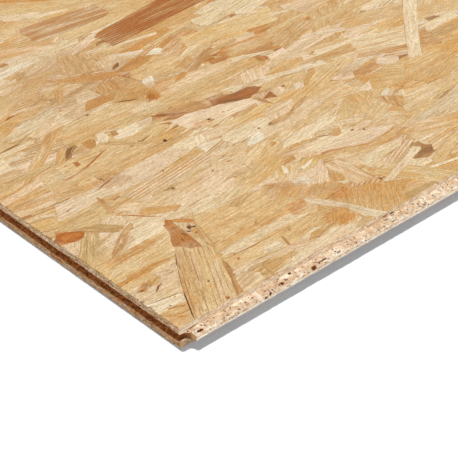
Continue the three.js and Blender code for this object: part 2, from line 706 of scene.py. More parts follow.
    def lay_corner(self) -> None:
        """Lays the strands beside the near corner, with the big lined one."""
        lay, dark_line, knots = self.strand, self.dark_line, self.knots
        lay(GRAINY, TAN, -10, "0,2 17,1 22,12 25,20 10,23 0,23")
        lay(CREAM, WHITE, -8, "0,22 12,21 25,23 31,30 20,33 0,37")
        lay(PALE, CREAM, 1, "0,37 28,31 34,38 42,50 48,60 20,64 0,62")
        lay(WHITE, CREAM, -5, "0,33 16,30 28,28 27,31 12,34 0,37")
        dark_line(UMBER, 0.8, "0,36 10,34.2 21,32.4 31,30")
        lay(HONEY, STRAW, 20, "13,62 15,52 22,49 30,54 28,62 20,65")
        lay(STRAW, PALE, 0, "0,55 14,58 24,62 50,61 53,66 0,66")
        lay(AMBER, HONEY, 2, "0,64 12,65 26,66 40,68 52,67 38,70.5 26,71 10,69 0,70", 0.1)
        lay(BROWN, HONEY, 30, "8,21.6 14,20 20,16.6 22,18 17,21.6 10,23", 0.2)
        lay(HONEY, AMBER, -30, "1,20 6,17 12,11 15,7 12,8 5,14", 0.2)
        dark_line(RUSSET, 0.9, "9,14.6 14,12.4 19,12 22,13.4")
        dark_line(BROWN, 0.8, "3,5.4 8,7 13,6.4 17,3.6")
        knots(UMBER, "13,24.4,2.2,1.2,-20 2,40,1.8,1.2")
        knots(OLIVE, "22,30,2.6,1.4,40 61,89.4,2.6,1.2,20")
        knots(UMBER, "7.5,65.5,3,1.4")
        knots(RUSSET, "10,51.3,6.6,4.2,10")
        knots(UMBER, "9.6,51,3,1.8,10")
        dark_line(UMBER, 1.8, "15.5,43 19,45 22,47.4 26,48")
        knots(TAN, "27,54,4,2")
        knots(OLIVE, "39,56.5,5,1.3")
        lay(STRAW, CREAM, 4, "0,71 28,71.5 50,69 58,68 62,77 67,86 70,92 40,89 10,86 0,84")
        lay(STRAW, HONEY, 3, "8,85.5 24,88 40,90 62,90 54,92 46,95.5 32,95 22,92.5", 0.1)
        lay(CREAM, WHITE, 4, "24,95 46,96.5 66,97 73,100 74,108 58,114 44,108 34,101")
        lay(TAN, BROWN, 36,
            "18,95 30,100 40,105 48,111 57,118 58,122.5 49,119 37,112 26,104", 0.4, grain=FINE)
        lay(STRAW, OLIVE, 50,
            "0,92 10,101 20,113 30,125 37,133 28,139 20,134 10,122 0,112", 0.4, grain=FINE)
        lay(PALE, STRAW, 50, "0,112 10,122 20,134 16,131 10,131 0,133", grain=FINE)
        lay(PALE, CREAM, 40, "36,125 43,119 50,121 57,130 56,139 44,140 38,137 46,129")
        lay(OLIVE, BROWN, -43, "17,145.5 28,141 40,136 47,128.5 52,121 43,118.5 36,125 28,132 23,139")
        lay(EMBER, RUSSET, -8, "0,140 7,147.5 14,145.5 22,140 25,136 20,131 14,130 6,133 0,134", 0.6)
        lay(EMBER, ORANGE, -12, "7,142 16,141 22,138 20,134 13,133 6,136", 0.0)
        knots(UMBER, "4,139,4,1.6,30")
        knots(BROWN, "14,130.7,4,1.6 53.8,115.2,3.4,1.8,20")
        knots(OLIVE, "59,115,2.2,1.6,60")
        lay(STRAW, PALE, 59.5,
            "16,1 19,9 24,18 30,29 36,39 42,48 50,60 57,70 61,76 66,73 70,66 76,62 80,60 83,57 80,48 "
            "77,41 74,36 70,27 65,17 60,8 55,1", 0.3, grain=LINED)
        lay(TAN, GRAINY, 59.5,
            "16,1 19,9 24,18 30,29 36,39 42,48 50,60 57,70 61,76 64,74.5 58,66 51,55 44,43.5 38,33 "
            "32,21 27,11 22,1", 0.0, grain=LINED)
        # Painted shadow along the big strand's left edge.
        dark_line(DARK, 1.0, "15.6,1.4 17.5,6 20,10.5 24,18 28,25.6 31,31")
        dark_line(UMBER, 0.7, "31,31 36,39.4 42,48.5 46,54.5")
        dark_line(DARK, 0.8, "46,54.5 48.6,58.6 51,61.4 57,70")
        knots(DARK, "51.6,27.4,2.2,2")
        knots(RUSSET, "48.5,3.6,4.8,3.8,20")
        knots(UMBER, "48.9,3.4,2.2,1.8,20")
        lay(BROWN, HONEY, 61,
            "77,40.5 76,33 72.5,22 68,15 64,8 62,1.5 55,1 60,8.5 64,16 68,25 72,33.5 75,39", 0.3)
        lay(RUSSET, BROWN, 76,
            "61,76 64,83 70,90 73,100 76,104 79,108 82,105 81,98 80,90 80,82 79,75 78,66 76,62 72,65.5 "
            "69,66 66.5,72", 0.4, grain=FINE)
        lay(RUSSET, ORANGE, 76,
            "70,66 72,72 74,84 76,98 79,106 81,103 80,90 79,75 77.5,64 74,66", 0.2, grain=FINE)
        knots(UMBER, "72.5,69.5,4.5,2.4,30 77,84,2.2,7,10 66,77,3,2,40 77.5,94,1.2,5,5 71.6,78,1.2,6,-12")
        lay(WHITE, CREAM, 60, "81,100.5 86,96 91.5,91 92,86 87,79 81,80 80.6,90")
        lay(ORANGE, AMBER, -47, "82,105 87,102 91.5,99 95,94 98.5,88.5 93,90 88,95.5 82,101")
        lay(TAN, BROWN, 72,
            "83,82 88,86 92.5,88 91.5,80 89.5,72 87.5,64 85.5,57 82.5,55 81,62 82.5,70 84,77")
        knots(UMBER, "86.3,87.4,5.8,4.4,60")
        knots(DARK, "86.2,88,3.4,2.4,60 82.8,83.6,4,2,-30 89.4,85.7,3.8,1.8,-10")
        knots(BROWN, "86.2,79,4.4,3.2,20")
        knots(UMBER, "86.2,79.2,2,1.4,20")

    def lay_long_side(self) -> None:
        """Lays the strands along the tongued side."""
        lay, dark_line, knots = self.strand, self.dark_line, self.knots
        lay(STRAW, HONEY, 2, "88,61 130,61 165,62 176,70 176,82 150,91 120,94 98,97 93,89 90,75")
        lay(CREAM, STRAW, 3, "99,97 120,94 150,91 162,93 150,100 130,104 104,106")
        lay(STRAW, HONEY, 1, "83,50 130,50 170,50 185,53 190,60 170,62 130,61.5 86,61.5")
        dark_line(BROWN, 1.2, "125,56.5 127.5,58.5 130.5,61")
        lay(CREAM, PALE, 0, "79.5,41 120,40.6 150,41 153,45 151,49.2 120,49 82,49.4")
        lay(STRAW, GRAINY, -3, "77,38.5 142,38 152,30 144,22 122,19.5 96,22.5 74,26")
        lay(BLOND, CREAM, -3, "108,30 122,31 124,24 118,22 104,25")
        dark_line(BROWN, 0.9, "79,38.8 92,38.4 104,37.2 122,38 142,38.4")
        dark_line(RUSSET, 1.0, "96,38.6 104,37.4 112,38")
        dark_line(OLIVE, 0.8, "79,25 92,23.4 106,22.6 121,20")
        knots(RUSSET, "86,33.2,3,2.4")
        lay(STRAW, TAN, 10, "130,36.5 160,39 170,33 160,26 146,22.5 130,25")
        lay(BROWN, TAN, 72, "124,20 126.4,19.6 130,31.5 127.6,32", 0.1)
        knots(BROWN, "139,34,3.4,2.2,40")
        lay(PALE, CREAM, -9, "70,22 92,19.6 112,15.6 126,12.4 138,12.6 124,19 100,22 74,26")
        lay(CREAM, TAN, 8, "62,1 84,2 87,10 80,18 70,20 65,11")
        lay(TAN, OLIVE, 4, "84,6 91,3.6 104,7 117,12 104,15 92,17 87.5,12")
        dark_line(OLIVE, 1.0, "91.6,1.6 92,8 93,17")
        knots(BROWN, "92,2.6,1.6,1.6")
        lay(CREAM, PINK, 5, "92,2.4 120,8 140,12 165,14 177,12 178,6 168,1.8 140,0 104,0")
        lay(GRAINY, TAN, 6, "136,11.6 148,20 162,21 172,17 168,14 150,12.8")
        knots(UMBER, "148.4,12.8,2.2,1.2")
        lay(STRAW, TAN, 20, "150,26 162,21 174,17 172,25 166,32 158,28")
        lay(STRAW, HONEY, 45, "168,24 176,29 188,29 191,20 191,11 184,8 176,10 172,18", 0.1)
        dark_line(BROWN, 1.4, "171,27 175,28.6 182,30 187,32")
        lay(GRAINY, TAN, -60, "177,2 196,0 192,14 190,8 184,6")
        lay(TAN, HONEY, 48,
            "193,42 200,46.5 214,45 228,37 240,31 256,22 242,10 230,-1 212,-1 206,10 200,22 194,34", 0.1)
        knots(BROWN, "206.5,43.6,4.4,2.6,30 236,26,2.6,1.8 238,17,2.6,1.8")
        lay(BLOND, PALE, -62,
            "174,59 180,56 186,47 192,39 197,28 203,14 210,2 211,-1 199,-1 195,10 191,20 186,32 180,42 "
            "175,50", 0.3)
        lay(TAN, PINK, 20, "155,63 172,64 190,60 202,64 194,72 186,79 178,86 169,92 160,88", 0.1)
        dark_line(BROWN, 1.2, "163,91.4 169,88.4 175,84")
        lay(TAN, PINK, 28, "176,58 186,52 200,50 214,50 212,58 200,66 188,62")
        lay(PALE, PINK, 40,
            "180,104 178,90 182,80 196,66 212,58 222,66 222,80 236,96 220,108 200,110", 0.1)
        lay(WHITE, CREAM, -50, "183,77.6 190,80.5 197,81 199.5,71 193,67.6 187,72", 0.1)
        lay(PINK, TAN, 70, "198,88 206,90 214,84 210,76 200,74", 0.2)
        lay(PALE, TAN, -84, "219,44 238,38 240,66 236,79 224,81 217,70 222,58")
        dark_line(BROWN, 1.2, "240,35 238.6,46 238.8,58 239.4,67")
        knots(UMBER, "241,36,2.4,3.4")
        lay(TAN, HONEY, 64, "210.5,59 215,67 220,73 223.5,60 218,53")
        dark_line(OLIVE, 0.8, "210.5,59 215,67 220,73")
        lay(HONEY, STRAW, 8, "241,47 256,46 264,50 258,54.5 243,53.5", 0.1)
        lay(CREAM, PALE, 8, "248,56 290,58 300,66 276,70 250,68")
        lay(STRAW, CREAM, -6, "226,84 244,76 268,70 284,70 262,74 240,81 228,90")
        lay(STRAW, CREAM, 50, "175,90 184,98 190,106 200,102 202,92 188,87", 0.1)
        lay(CREAM, WHITE, 52, "178,91 184,97 189,104 188,97 183,91", 0.1)
        lay(WHITE, CREAM, 62, "190,92 194,98 198,103 198,97 194,91", 0.1)
        lay(STRAW, PALE, 24, "198,84 216,82 232,92 216,100 204,94", 0.1)
        lay(WHITE, CREAM, 24, "204,86 214,88 224,93 216,92 206,89", 0.1)
        knots(UMBER, "205,87.6,2.4,1.6")
        knots(OLIVE, "218,97.6,4.4,1.6,-30")
        lay(TAN, BROWN, 5, "190,107 200,101 213,101 215,107.5 205,109.5 196,108.5")
        lay(TAN, OLIVE, 24, "126.5,88 132,81.5 147,88 152,94 138,92.6")
        dark_line(OLIVE, 0.9, "130.5,81 138,84.6 147,88.4 160,90")
        knots(OLIVE, "128,88,3.6,1.8,70")

    def lay_middle(self) -> None:
        """Lays the strands in the middle of the near area."""
        lay, dark_line, knots = self.strand, self.dark_line, self.knots
        lay(STRAW, CREAM, 16, "122,97 150,92 182,98 202,104 208,116 190,119 164,113 140,105")
        lay(PALE, PINK, 6, "101,111 128,112 146,107 158,114 150,120 160,130 120,128 98,118")
        dark_line(BROWN, 1.3, "101,109 108,108.6 116,110 128,110.6")
        knots(BROWN, "93,111,5,1.2")
        dark_line(OLIVE, 1.5, "147,116.4 151,116.8 158,118")
        dark_line(BROWN, 1.0, "120,130 134,131 146,133")
        knots(UMBER, "152,134,3.4,1.6,20")
        lay(STRAW, CREAM, 20, "176,120 206,118 220,124 222,134 208,141 192,136 180,130")
        knots(AMBER, "215,131,8,4.2,20")
        knots(BROWN, "171,136,6,2.2")
        lay(WHITE, CREAM, 14, "198,143 206,141 214,141 221,148 220,154 210,151 202,147", 0.0)
        dark_line(BROWN, 1.0, "163,142.6 172,144 181,146.6")
        lay(PALE, STRAW, 8.5,
            "84,140.5 100,141.5 140,147 166,151 167,168.5 140,165 120,161 100,157 79,154 78,147",
            0.2, grain=RIBBED)
        lay(GRAINY, TAN, 9, "128,160.5 148,165 167,171 167,160 150,159.5 138,159.5", 0.0)
        dark_line(OLIVE, 1.2, "130,162 144,165 158,167.6")
        knots(UMBER, "123,160.6,3.6,1.2,50")
        lay(TAN, OLIVE, 10, "103,138.5 107,135.6 112,133 115,138 121,140 110,142", 0.1)
        knots(UMBER, "112,136,3,3.6")
        dark_line(UMBER, 1.2, "104,138 108,137.4 112,138.6")
        dark_line(OLIVE, 1.2, "112,140.6 117,140 121,139.6")
        lay(HONEY, AMBER, -36, "69.5,127 77,131.5 90,122.5 102,114.5 96,111.5 84,115 74,121")
        dark_line(RUSSET, 1.4, "58.5,135.6 64,129.6 72,120.6 81,112")
        lay(PALE, STRAW, -38, "60,139 70,132 80,138 92,136 84,142 66,146")
        lay(STRAW, OLIVE, 4, "10,148.5 22,145 50,140.6 56,150 57,160.5 30,160 17,158")
        lay(PINK, CREAM, 3, "18,160 55,161 110,159 150,169 160,171 150,182 100,182 60,178.5 30,180")
        lay(TAN, HONEY, 5, "46,161 56,156 66,157 72,160 66,163")
        lay(BROWN, HONEY, 82, "54,141 58.4,141 60,152 62.4,160 60.4,167.5 57,158", 0.2)
        dark_line(OLIVE, 1.0, "78,157.6 84,158.6 90,160")
        dark_line(UMBER, 0.8, "29,166.6 32,166.8 38,168.4")
        dark_line(BROWN, 0.9, "37,159.6 43,160")
        dark_line(OLIVE, 1.2, "44,176.4 52,176.4 60,175.6")
        dark_line(BARK, 1.7, "67,173.8 74,176.4 82,178.4 88,179.6")
        dark_line(OLIVE, 1.4, "50,188 55,185 60,180.6")
        lay(TAN, STRAW, -12, "33,181 60,179 62,190 48,196 38,192")
        dark_line(OLIVE, 2.2, "44,190 52,186 60,182.6")
        lay(HONEY, STRAW, 8, "60,179 77,180 79,192 68,196 60,190")
        lay(TAN, HONEY, 3,
            "78,180 92,182.4 120,184 150,184 178,188 186,194 150,193 118,194.5 95,196.5 79,193", 0.2)
        lay(HONEY, OLIVE, 80, "76.6,180.6 82,180 82,185 79.6,192.6 77.4,192", 0.1)
        dark_line(UMBER, 1.8, "79.6,180.6 79,184 78.6,188")
        dark_line(OLIVE, 1.2, "78.4,187 78,190 77.8,193")
        knots(OLIVE, "71,190,3.4,2.4")
        dark_line(RUSSET, 2.0, "56,201.6 63,202.6 70,203.6 80,206 92,210 104,215 114.5,218.6")
        knots(BROWN, "67,203.4,4.4,1.8")
        knots(DARK, "154,194.4,3.6,5,-20 203,195.4,3.6,2.6")
        knots(OLIVE, "203,193,7,3 132,203.4,3.4,1.8 120,201.4,1.8,2.6")
        lay(PINK, CREAM, -5, "176,215 190,214.5 221,209 241,201 256,197 257,188 230,188 200,189 180,196")
        lay(PALE, CREAM, -4, "167,172 178,184 196,182 214,176 206,172 190,169")
        lay(WHITE, CREAM, 6, "166,158 172,160 182,163.6 190,167 183,169 176,170 167,169.6", 0.0)
        lay(CREAM, WHITE, 60, "168,171 180,171 182,182 174,183")
        lay(TAN, BROWN, 2, "219,182 232,180 248,184 250,188 236,187.6 222,187")
        knots(BROWN, "200,184,8,2.8")
        knots(OLIVE, "220,196.4,3.6,2")
        lay(TAN, BROWN, 3, "231,154 238,157.6 262,158.6 264,154.6 248,151 236,151.4")
        knots(DARK, "223.6,156.6,2.6,2.4")
        knots(UMBER, "236,155.6,4.2,2.2")
        lay(PALE, WHITE, 4, "240,164 262,166 280,172 260,178 244,174")
        lay(CREAM, PINK, 10, "214,120 240,118 268,122 286,124 280,132 250,132 226,128")

    def lay_far(self) -> None:
        """Lays the strands further along the board and further across it."""
        lay, dark_line, knots = self.strand, self.dark_line, self.knots
        lay(PINK, CREAM, -12, "230,95 243,92.6 258,86.5 272,79.5 300,80.5 312,84 292,95 264,101 246,100")
        lay(TAN, GRAINY, -12,
            "226,93 242,91 256,85 270,78 285,77.4 308,80 300,72 280,70 262,73.6 240,80 227,84")
        dark_line(BROWN, 1.0, "226,93.4 243,91 257,85 271,77.6 285,77")
        lay(TAN, HONEY, 12, "249,114.6 258,110 262,103 268,104 274,112.6 262,114.6", 0.1)
        knots(AMBER, "264,107,4.6,7,10")
        dark_line(UMBER, 1.2, "249,114.6 255,111 260.6,107.4")
        knots(UMBER, "278,102,4.2,2.4,10 286,96,3,2.6,30")
        knots(OLIVE, "293,106.6,4.2,1.6,20")
        lay(TAN, BROWN, 4, "298,93 310,89 322,90 316,94 302,95")
        lay(STRAW, TAN, 66, "304,112 322,118 332,130 318,134 308,126", grain=FINE)
        lay(STRAW, TAN, 26,
            "279,122 300,136.6 316,143.6 331,142.6 338,136 330,130 312,124 300,117.6 288,118")
        lay(STRAW, HONEY, 80, "312,128 326,131 332,138 322,140 312,136", grain=FINE)
        lay(TAN, BROWN, 62, "331,127 337,124 341,121 352,112 345,105 338,99 332,110")
        lay(WHITE, CREAM, 30, "337,125.4 344,128.6 353,131 350,124 342,120.6")
        dark_line(BROWN, 1.8, "344,118 352,121 360,121.6 366,123.6")
        lay(CREAM, PALE, 36, "346,117 356,120 361,119 352,111.6")
        lay(STRAW, GRAINY, 17,
            "262,158 290,164 320,171 374,189 352,196 330,197.6 312,191 300,181 284,173",
            0.1, grain=LINED)
        lay(HONEY, AMBER, 30, "298,179.6 312,191 331,199.6 328,194 314,186 304,180")
        lay(TAN, BROWN, 16, "258,156 276,160 292,168 282,168 264,160")
        knots(BROWN, "326,198.4,10,2.6,10")
        lay(HONEY, AMBER, 4, "330,160 346,162 350,169 380,176 384,168 378,160 352,158")
        lay(BROWN, AMBER, -4, "347,166 352,170.6 362,168 375,170.4 378,164 368,160 354,160.4", 0.3)
        lay(HONEY, OLIVE, 22, "332,150 344,151 360,156 358,160 338,160.4 331,156")
        knots(BROWN, "334,161,7,2.2 339,150.6,3.6,1.6")
        lay(PINK, CREAM, -38, "376,166 388,174 402,162 394,155 382,160")
        lay(CREAM, WHITE, -9,
            "240,226 262,221.6 290,216.6 320,212 346,205 346,196 325,200.6 300,206.6 270,212 248,219")
        lay(HONEY, STRAW, 4, "288,217 300,223 320,227 338,221 332,212 312,210.6")
        lay(STRAW, TAN, -4, "258,205 276,208 300,205 322,200 300,194 276,196 262,198")
        lay(PINK, WHITE, 40, "292,182 298,191 303,189 302,181")
        knots(UMBER, "288,194,5.2,2.2,6")
        knots(BROWN, "338,205,7,1.6,8")
        lay(BROWN, TAN, -8,
            "162,227.4 172,230.6 179,232.4 195,231 208,228.4 223,222 221,211 205,213 190,216 179,221.6 "
            "170,224", 0.3)
        dark_line(BARK, 5.4, "170,232 178,227.4 186,221.8 198,215.6")
        lay(BROWN, UMBER, 78, "254,196 260,189 260.6,177 256,184")
        lay(BARK, RUSSET, -6,
            "221,210.4 224,218.6 234,215.4 248,214 263,214 269,211 273,205.4 262,200 250,199 240,202 "
            "230,206", 0.6)
        dark_line(UMBER, 3.4, "226,212 234,208 242,204.6 250,202")
        dark_line(UMBER, 1.6, "236,214 248,212 258,212.6")
        lay(BARK, RUSSET, 20, "259,189 266,192 273.6,195.4 271.4,183.6 266,186.6", 0.5)
        lay(HONEY, BROWN, 4, "258,215 272,214 284,216 276,218 262,217")
        lay(RUSSET, BARK, 62, "76,212 77.6,218.6 81.4,217.4 80.6,211")
        knots(BROWN, "70,219,5,2.2 66,211.4,6,1.8")
        lay(HONEY, TAN, 38, "62,222 76,238 86,246 84,236 74,224")
        lay(OLIVE, UMBER, 40, "74.6,224.6 80,231.4 86,238.4 95,239.6 96,236 88,232 82,226", 0.5)
        dark_line(UMBER, 4.0, "78,227 83,232 87,236 93,238.6")
        lay(TAN, HONEY, 6, "84,228 92,226 101,228 101,234 90,232")
        lay(AMBER, HONEY, 74, "100,224.6 101,237.6 110.6,238.4 113,234 107,226")
        lay(CREAM, PINK, 52, "112,228 118,241 125,240 124,229 118,225")
        lay(TAN, OLIVE, -42, "113,224.4 120,224.6 132,211 147,200 139,199.6 126,210 117,219")
        lay(CREAM, WHITE, 3, "126,222 140,219 165,224 172,232 150,234 134,234 126,229")
        lay(BROWN, HONEY, -62, "125.6,228.6 130,236.6 134.6,235 132.6,227.6")
        lay(PINK, WHITE, -22, "119.6,243.6 128,241.4 138,236 134,236 126,238.6")
        dark_line(BROWN, 1.1, "252,233.6 270,234.6 290,236.4 314,237.6")
        dark_line(BROWN, 0.9, "282,251.6 292,252 306,254")
        knots(OLIVE, "213,234,9,1.6")
        dark_line(BROWN, 1.0, "98,269 114,269.4 132,270.4")
        knots(UMBER, "132.6,270,4.6,2.8,20")
        knots(OLIVE, "110,265,3,1.6 151,266.4,3.4,1.8")
        lay(AMBER, HONEY, -6, "135,275.4 141,284 147,288.6 160,286.4 174,282.6 166,276 150,275", 0.2)
        lay(CREAM, WHITE, -14, "138,290 150,288.6 163,288 160,303 146,304")
        lay(HONEY, ORANGE, 76, "160.6,304 164,290 172,287 184,285 186,304")
        dark_line(UMBER, 2.2, "162.6,271 169,268 176,264.6 182.6,261.6")
        lay(ORANGE, RUSSET, 54, "182,251.6 187,258.6 192,262.6 198,267.4 200,260 198,251.6 190,250", 0.3)
        lay(RUSSET, UMBER, 54, "184,252 189,256.6 194,262.4 197,263 195,256 190,252", 0.2)
        knots(OLIVE, "195,270,7,3,40")
        lay(WHITE, CREAM, 58, "200,270 202,282 206,285.6 216,285.6 213,277 207,270")
        knots(BROWN, "195,294,5.4,2.8,-20")
        lay(AMBER, STRAW, 24, "223,262 231,270 240,273.6 243,268.6 236,263", 0.1)
        lay(HONEY, AMBER, 20, "238,281 250,288 262,292 260,284 248,280", 0.1)
        lay(BROWN, RUSSET, 10, "268,264.6 272,272.6 291,268.6 284,262", 0.3, grain=FINE)
        lay(BROWN, OLIVE, 14, "260,274.6 270,280.6 279,281.6 277,276 266,273")
        lay(BROWN, RUSSET, 70, "303.6,240 305,249.4 310,250.6 316,241 312,238", 0.2)
        lay(AMBER, HONEY, -28,
            "147,337 160,332.6 175,325.4 190,318 201,312 196,304.6 180,308 165,318 152,328", 0.2)
        lay(AMBER, RUSSET, 8, "198,312 212,316.6 232,320.6 242,315 232,308 215,303.6 203,306.6", 0.2)
        lay(UMBER, BROWN, 36, "197,316.6 203,323 211,325.6 207,319")
        lay(HONEY, AMBER, 60, "124,304 138,322 144,318 132,302")
        knots(OLIVE, "194,346,7,3 168,342,9,2,20")


@dataclass(frozen=True)
class Hole:
    """A hole torn in the long side, with its place from the near corner in millimetres."""

    x: float
    y: float
    z: float
    long: float
    wide: float

    def depth_at(self, spot: Vector, deepest: float) -> float:
        """Gives the hole's depth at a place, in millimetres.

        Args:
            spot: the place from the near corner, in millimetres.
            deepest: the depth in its middle.

        Returns:
            The depth, 0 outside the hole.
        """
        away = Vector((
            (spot.x - self.x) / self.long, (spot.y - self.y) / self.wide,
            (spot.z - self.z) / self.wide))
        return deepest * max(0.0, 1 - 4 * away.length_squared)


HOLES = (
    Hole(124.5, -6.9, 11.8, 7.0, 5.4),
    Hole(93.0, -4.9, 12.0, 6.2, 4.0),
    Hole(134.5, -4.7, 11.5, 12.0, 2.2),
    Hole(75.1, -7.4, 9.5, 3.4, 3.0),
    Hole(80.0, -7.4, 10.5, 3.4, 3.0),
    Hole(105.7, -0.2, 11.4, 4.4, 2.6),
    Hole(215.4, 0.6, 13.7, 6.0, 2.0),
    Hole(14.6, -5.2, 11.2, 7.0, 3.2),
)


def upright(face: bmesh.types.BMFace) -> bool:
    """Whether a face stands upright, and doesn't lie in a lip or a groove's side."""
    return abs(face.normal.z) < 0.8


@dataclass
class MilledEdges:
    """The board's four milled sides, tongues and grooves, with fibres torn by the cutter."""

    corner: Vector
    near_reach: Point = (250.0, 150.0)
    near_step: float = 1.6
    far_step: float = 6.0
    plain_step: float = 9.0
    girth_step: float = 1.2
    milled: float = 10.5
    torn: float = 0.3
    torn_size: Point3 = (7.0, 7.0, 1.1)
    void: float = 0.8
    void_size: Point3 = (11.0, 11.0, 1.6)
    void_place: Point3 = (7.0, 3.0, 5.0)
    void_start: float = 0.38
    void_steepness: float = 6.0
    hole: float = 1.6
    band: float = 0.3

    def build(self, cuts: tuple[list[float], list[float]]) -> bmesh.types.BMesh:
        """Copies the CAD solid's sides, slices them and roughens them.

        Args:
            cuts: places along X and along Y, in metres, where the sides are also sliced.

        Returns:
            The sides as one open mesh in metres, without the board's two faces.
        """
        shape = bmesh.new()
        shape.from_mesh(bpy.data.objects[NODE].data)
        bmesh.ops.remove_doubles(shape, verts=shape.verts, dist=1e-6)
        high = max(v.co.z for v in shape.verts)
        band = self.band * MM + 1e-6
        flat = [
            f for f in shape.faces
            if all(v.co.z > high - band for v in f.verts) or all(v.co.z < band for v in f.verts)
        ]
        bmesh.ops.delete(shape, geom=flat, context="FACES")
        bmesh.ops.dissolve_limit(
            shape, angle_limit=math.radians(1), verts=shape.verts, edges=shape.edges)
        self.slice(shape, cuts)
        self.roughen(shape)
        return shape

    def slice(self, shape: bmesh.types.BMesh, cuts: tuple[list[float], list[float]]) -> None:
        """Cuts the sides into small faces, finest beside the near corner.

        Args:
            shape: the sides.
            cuts: further places along X and along Y, in metres.
        """
        low = Vector([min(v.co[axis] for v in shape.verts) for axis in range(3)])
        high = Vector([max(v.co[axis] for v in shape.verts) for axis in range(3)])
        depth = self.milled * MM
        levels = self.steps(low.z, high.z, self.girth_step, self.girth_step, 0)
        self.cut(shape, upright, 2, levels)
        for axis in (0, 1):
            for start, end in ((low[axis], low[axis] + depth), (high[axis] - depth, high[axis])):
                rows = self.steps(start, end, self.girth_step, self.girth_step, 0)
                self.cut(shape, lambda f: not upright(f) and self.faces_way(f, low, high) == axis,
                         axis, rows)
        for axis in (0, 1):
            along = 1 - axis
            reach = self.near_reach[along] * MM
            fine = self.steps(low[along], high[along], self.near_step, self.far_step, reach)
            plain = self.steps(low[along], high[along], self.plain_step, self.plain_step, 0)
            middle = (low[axis] + high[axis]) / 2
            self.cut(shape, lambda f: self.faces_way(f, low, high) == axis
                     and f.calc_center_median()[axis] < middle, along, sorted(fine + cuts[along]))
            self.cut(shape, lambda f: self.faces_way(f, low, high) == axis
                     and f.calc_center_median()[axis] > middle, along, sorted(plain + cuts[along]))

    @staticmethod
    def faces_way(face: bmesh.types.BMFace, low: Vector, high: Vector) -> int:
        """Tells which sides a face belongs to.

        Args:
            face: the face.
            low: the lowest corner of the board's box.
            high: the highest one.

        Returns:
            0 for the two ends and 1 for the long sides.
        """
        middle = face.calc_center_median()
        gaps = [min(middle[axis] - low[axis], high[axis] - middle[axis]) for axis in (0, 1)]
        if upright(face):
            return 0 if abs(face.normal.x) > abs(face.normal.y) else 1
        return 0 if gaps[0] < gaps[1] else 1

    @staticmethod
    def steps(low: float, high: float, near: float, far: float, reach: float) -> list[float]:
        """Spaces planes from low to high, finer within a reach of the low end.

        Args:
            low: the first end, in metres.
            high: the other end, in metres.
            near: the spacing within the reach, in millimetres.
            far: the spacing beyond it, in millimetres.
            reach: how far the fine spacing goes, in metres.

        Returns:
            The places of the planes, without the two ends.
        """
        places = []
        where = low
        while True:
            where += (near if where < low + reach - 1e-6 else far) * MM
            if where > high - 0.4 * far * MM:
                return places
            places.append(where)

    @staticmethod
    def cut(shape: bmesh.types.BMesh, wanted: Callable[[bmesh.types.BMFace], bool], axis: int,
            places: list[float]) -> None:
        """Cuts the wanted faces with planes square to an axis, from the low end to the high one.

        Args:
            shape: the mesh.
            wanted: tells of a face whether it is cut.
            axis: 0 for planes square to X, 1 to Y and 2 to Z.
            places: the planes' places in rising order, in metres.
        """
        ahead = [face for face in shape.faces if wanted(face)]
        normal = Vector([float(axis == way) for way in range(3)])
        for where in places:
            geom = ahead + list({e for f in ahead for e in f.edges})
            geom += list({v for f in ahead for v in f.verts})
            done = bmesh.ops.bisect_plane(
                shape, geom=geom, dist=1e-7, plane_co=normal * where, plane_no=normal)
            ahead = [
                part for part in done["geom"]
                if isinstance(part, bmesh.types.BMFace)
                and max(v.co[axis] for v in part.verts) > where + 1e-6
            ]

    def roughen(self, shape: bmesh.types.BMesh) -> None:
        """Pushes points of the milled sides inward, as torn fibres and small voids do.

        Args:
            shape: the sliced sides.
        """
        shape.normal_update()
        high = max(v.co.z for v in shape.verts)
        band = self.band * MM + 1e-5
        moves = {}
        for vert in shape.verts:
            if vert.co.z > high - 1e-5 or vert.co.z < band:
                continue
            spot = Vector([way / size for way, size in zip(vert.co, self.torn_size)]) / MM
            rough = self.torn * (0.5 + 0.5 * noise.noise(spot))
            spot = Vector([way / size for way, size in zip(vert.co, self.void_size)]) / MM
            gap = noise.noise(spot + Vector(self.void_place)) - self.void_start
            depth = rough + self.void * max(0.0, min(1.0, gap * self.void_steepness))
            place = (vert.co - self.corner) / MM
            hole = max(hole.depth_at(place, self.hole) for hole in HOLES)
            moves[vert] = -vert.normal * max(depth, hole) * MM
        for vert, move in moves.items():
            vert.co += move


@dataclass(frozen=True)
class Sheet:
    """The flat map of one bay: where each side of it lies on a square, in millimetres."""

    side: float = 1070.0
    gap: float = 5.0
    long: float = 694.0
    wide: float = 684.0
    tall_row: float = 20.0
    flat_row: float = 11.0
    flat_start: float = 200.0

    @property
    def right(self) -> float:
        """Where the right column starts."""
        return self.gap * 2 + self.long

    @property
    def top(self) -> float:
        """Where the top row starts."""
        return self.gap * 2 + self.wide

    def upper(self, x: float, y: float) -> Point:
        """Places a point of the upper face."""
        return self.gap + x, self.gap + y

    def lower(self, x: float, y: float, second: bool) -> Point:
        """Places a point of the lower face, whose two halves fill the rest of the sheet."""
        folded = (self.gap + y, self.top + x - self.long / 2)
        return folded if second else (self.right + x, self.gap + y)

    def strip(self, number: int, tall: bool, along: float, across: float, second: bool) -> Point:
        """Places a point of a milled side or of a cut, in strips of half its length.

        Args:
            number: which strip, counted among those of its height.
            tall: whether it shows the board's thickness, or only a tongue's or groove's depth.
            along: how far along the side, in millimetres.
            across: how far across the strip, in millimetres.
            second: whether the point belongs to the strip's second half.

        Returns:
            The place on the sheet.
        """
        place = number * 2 + second
        row = place * self.tall_row if tall else self.flat_start + place * self.flat_row
        return self.right + along - second * self.long / 2, self.top + row + across

    def scaled(self, spot: Point) -> Point:
        """Turns a place on the sheet into map coordinates."""
        return spot[0] / self.side, spot[1] / self.side


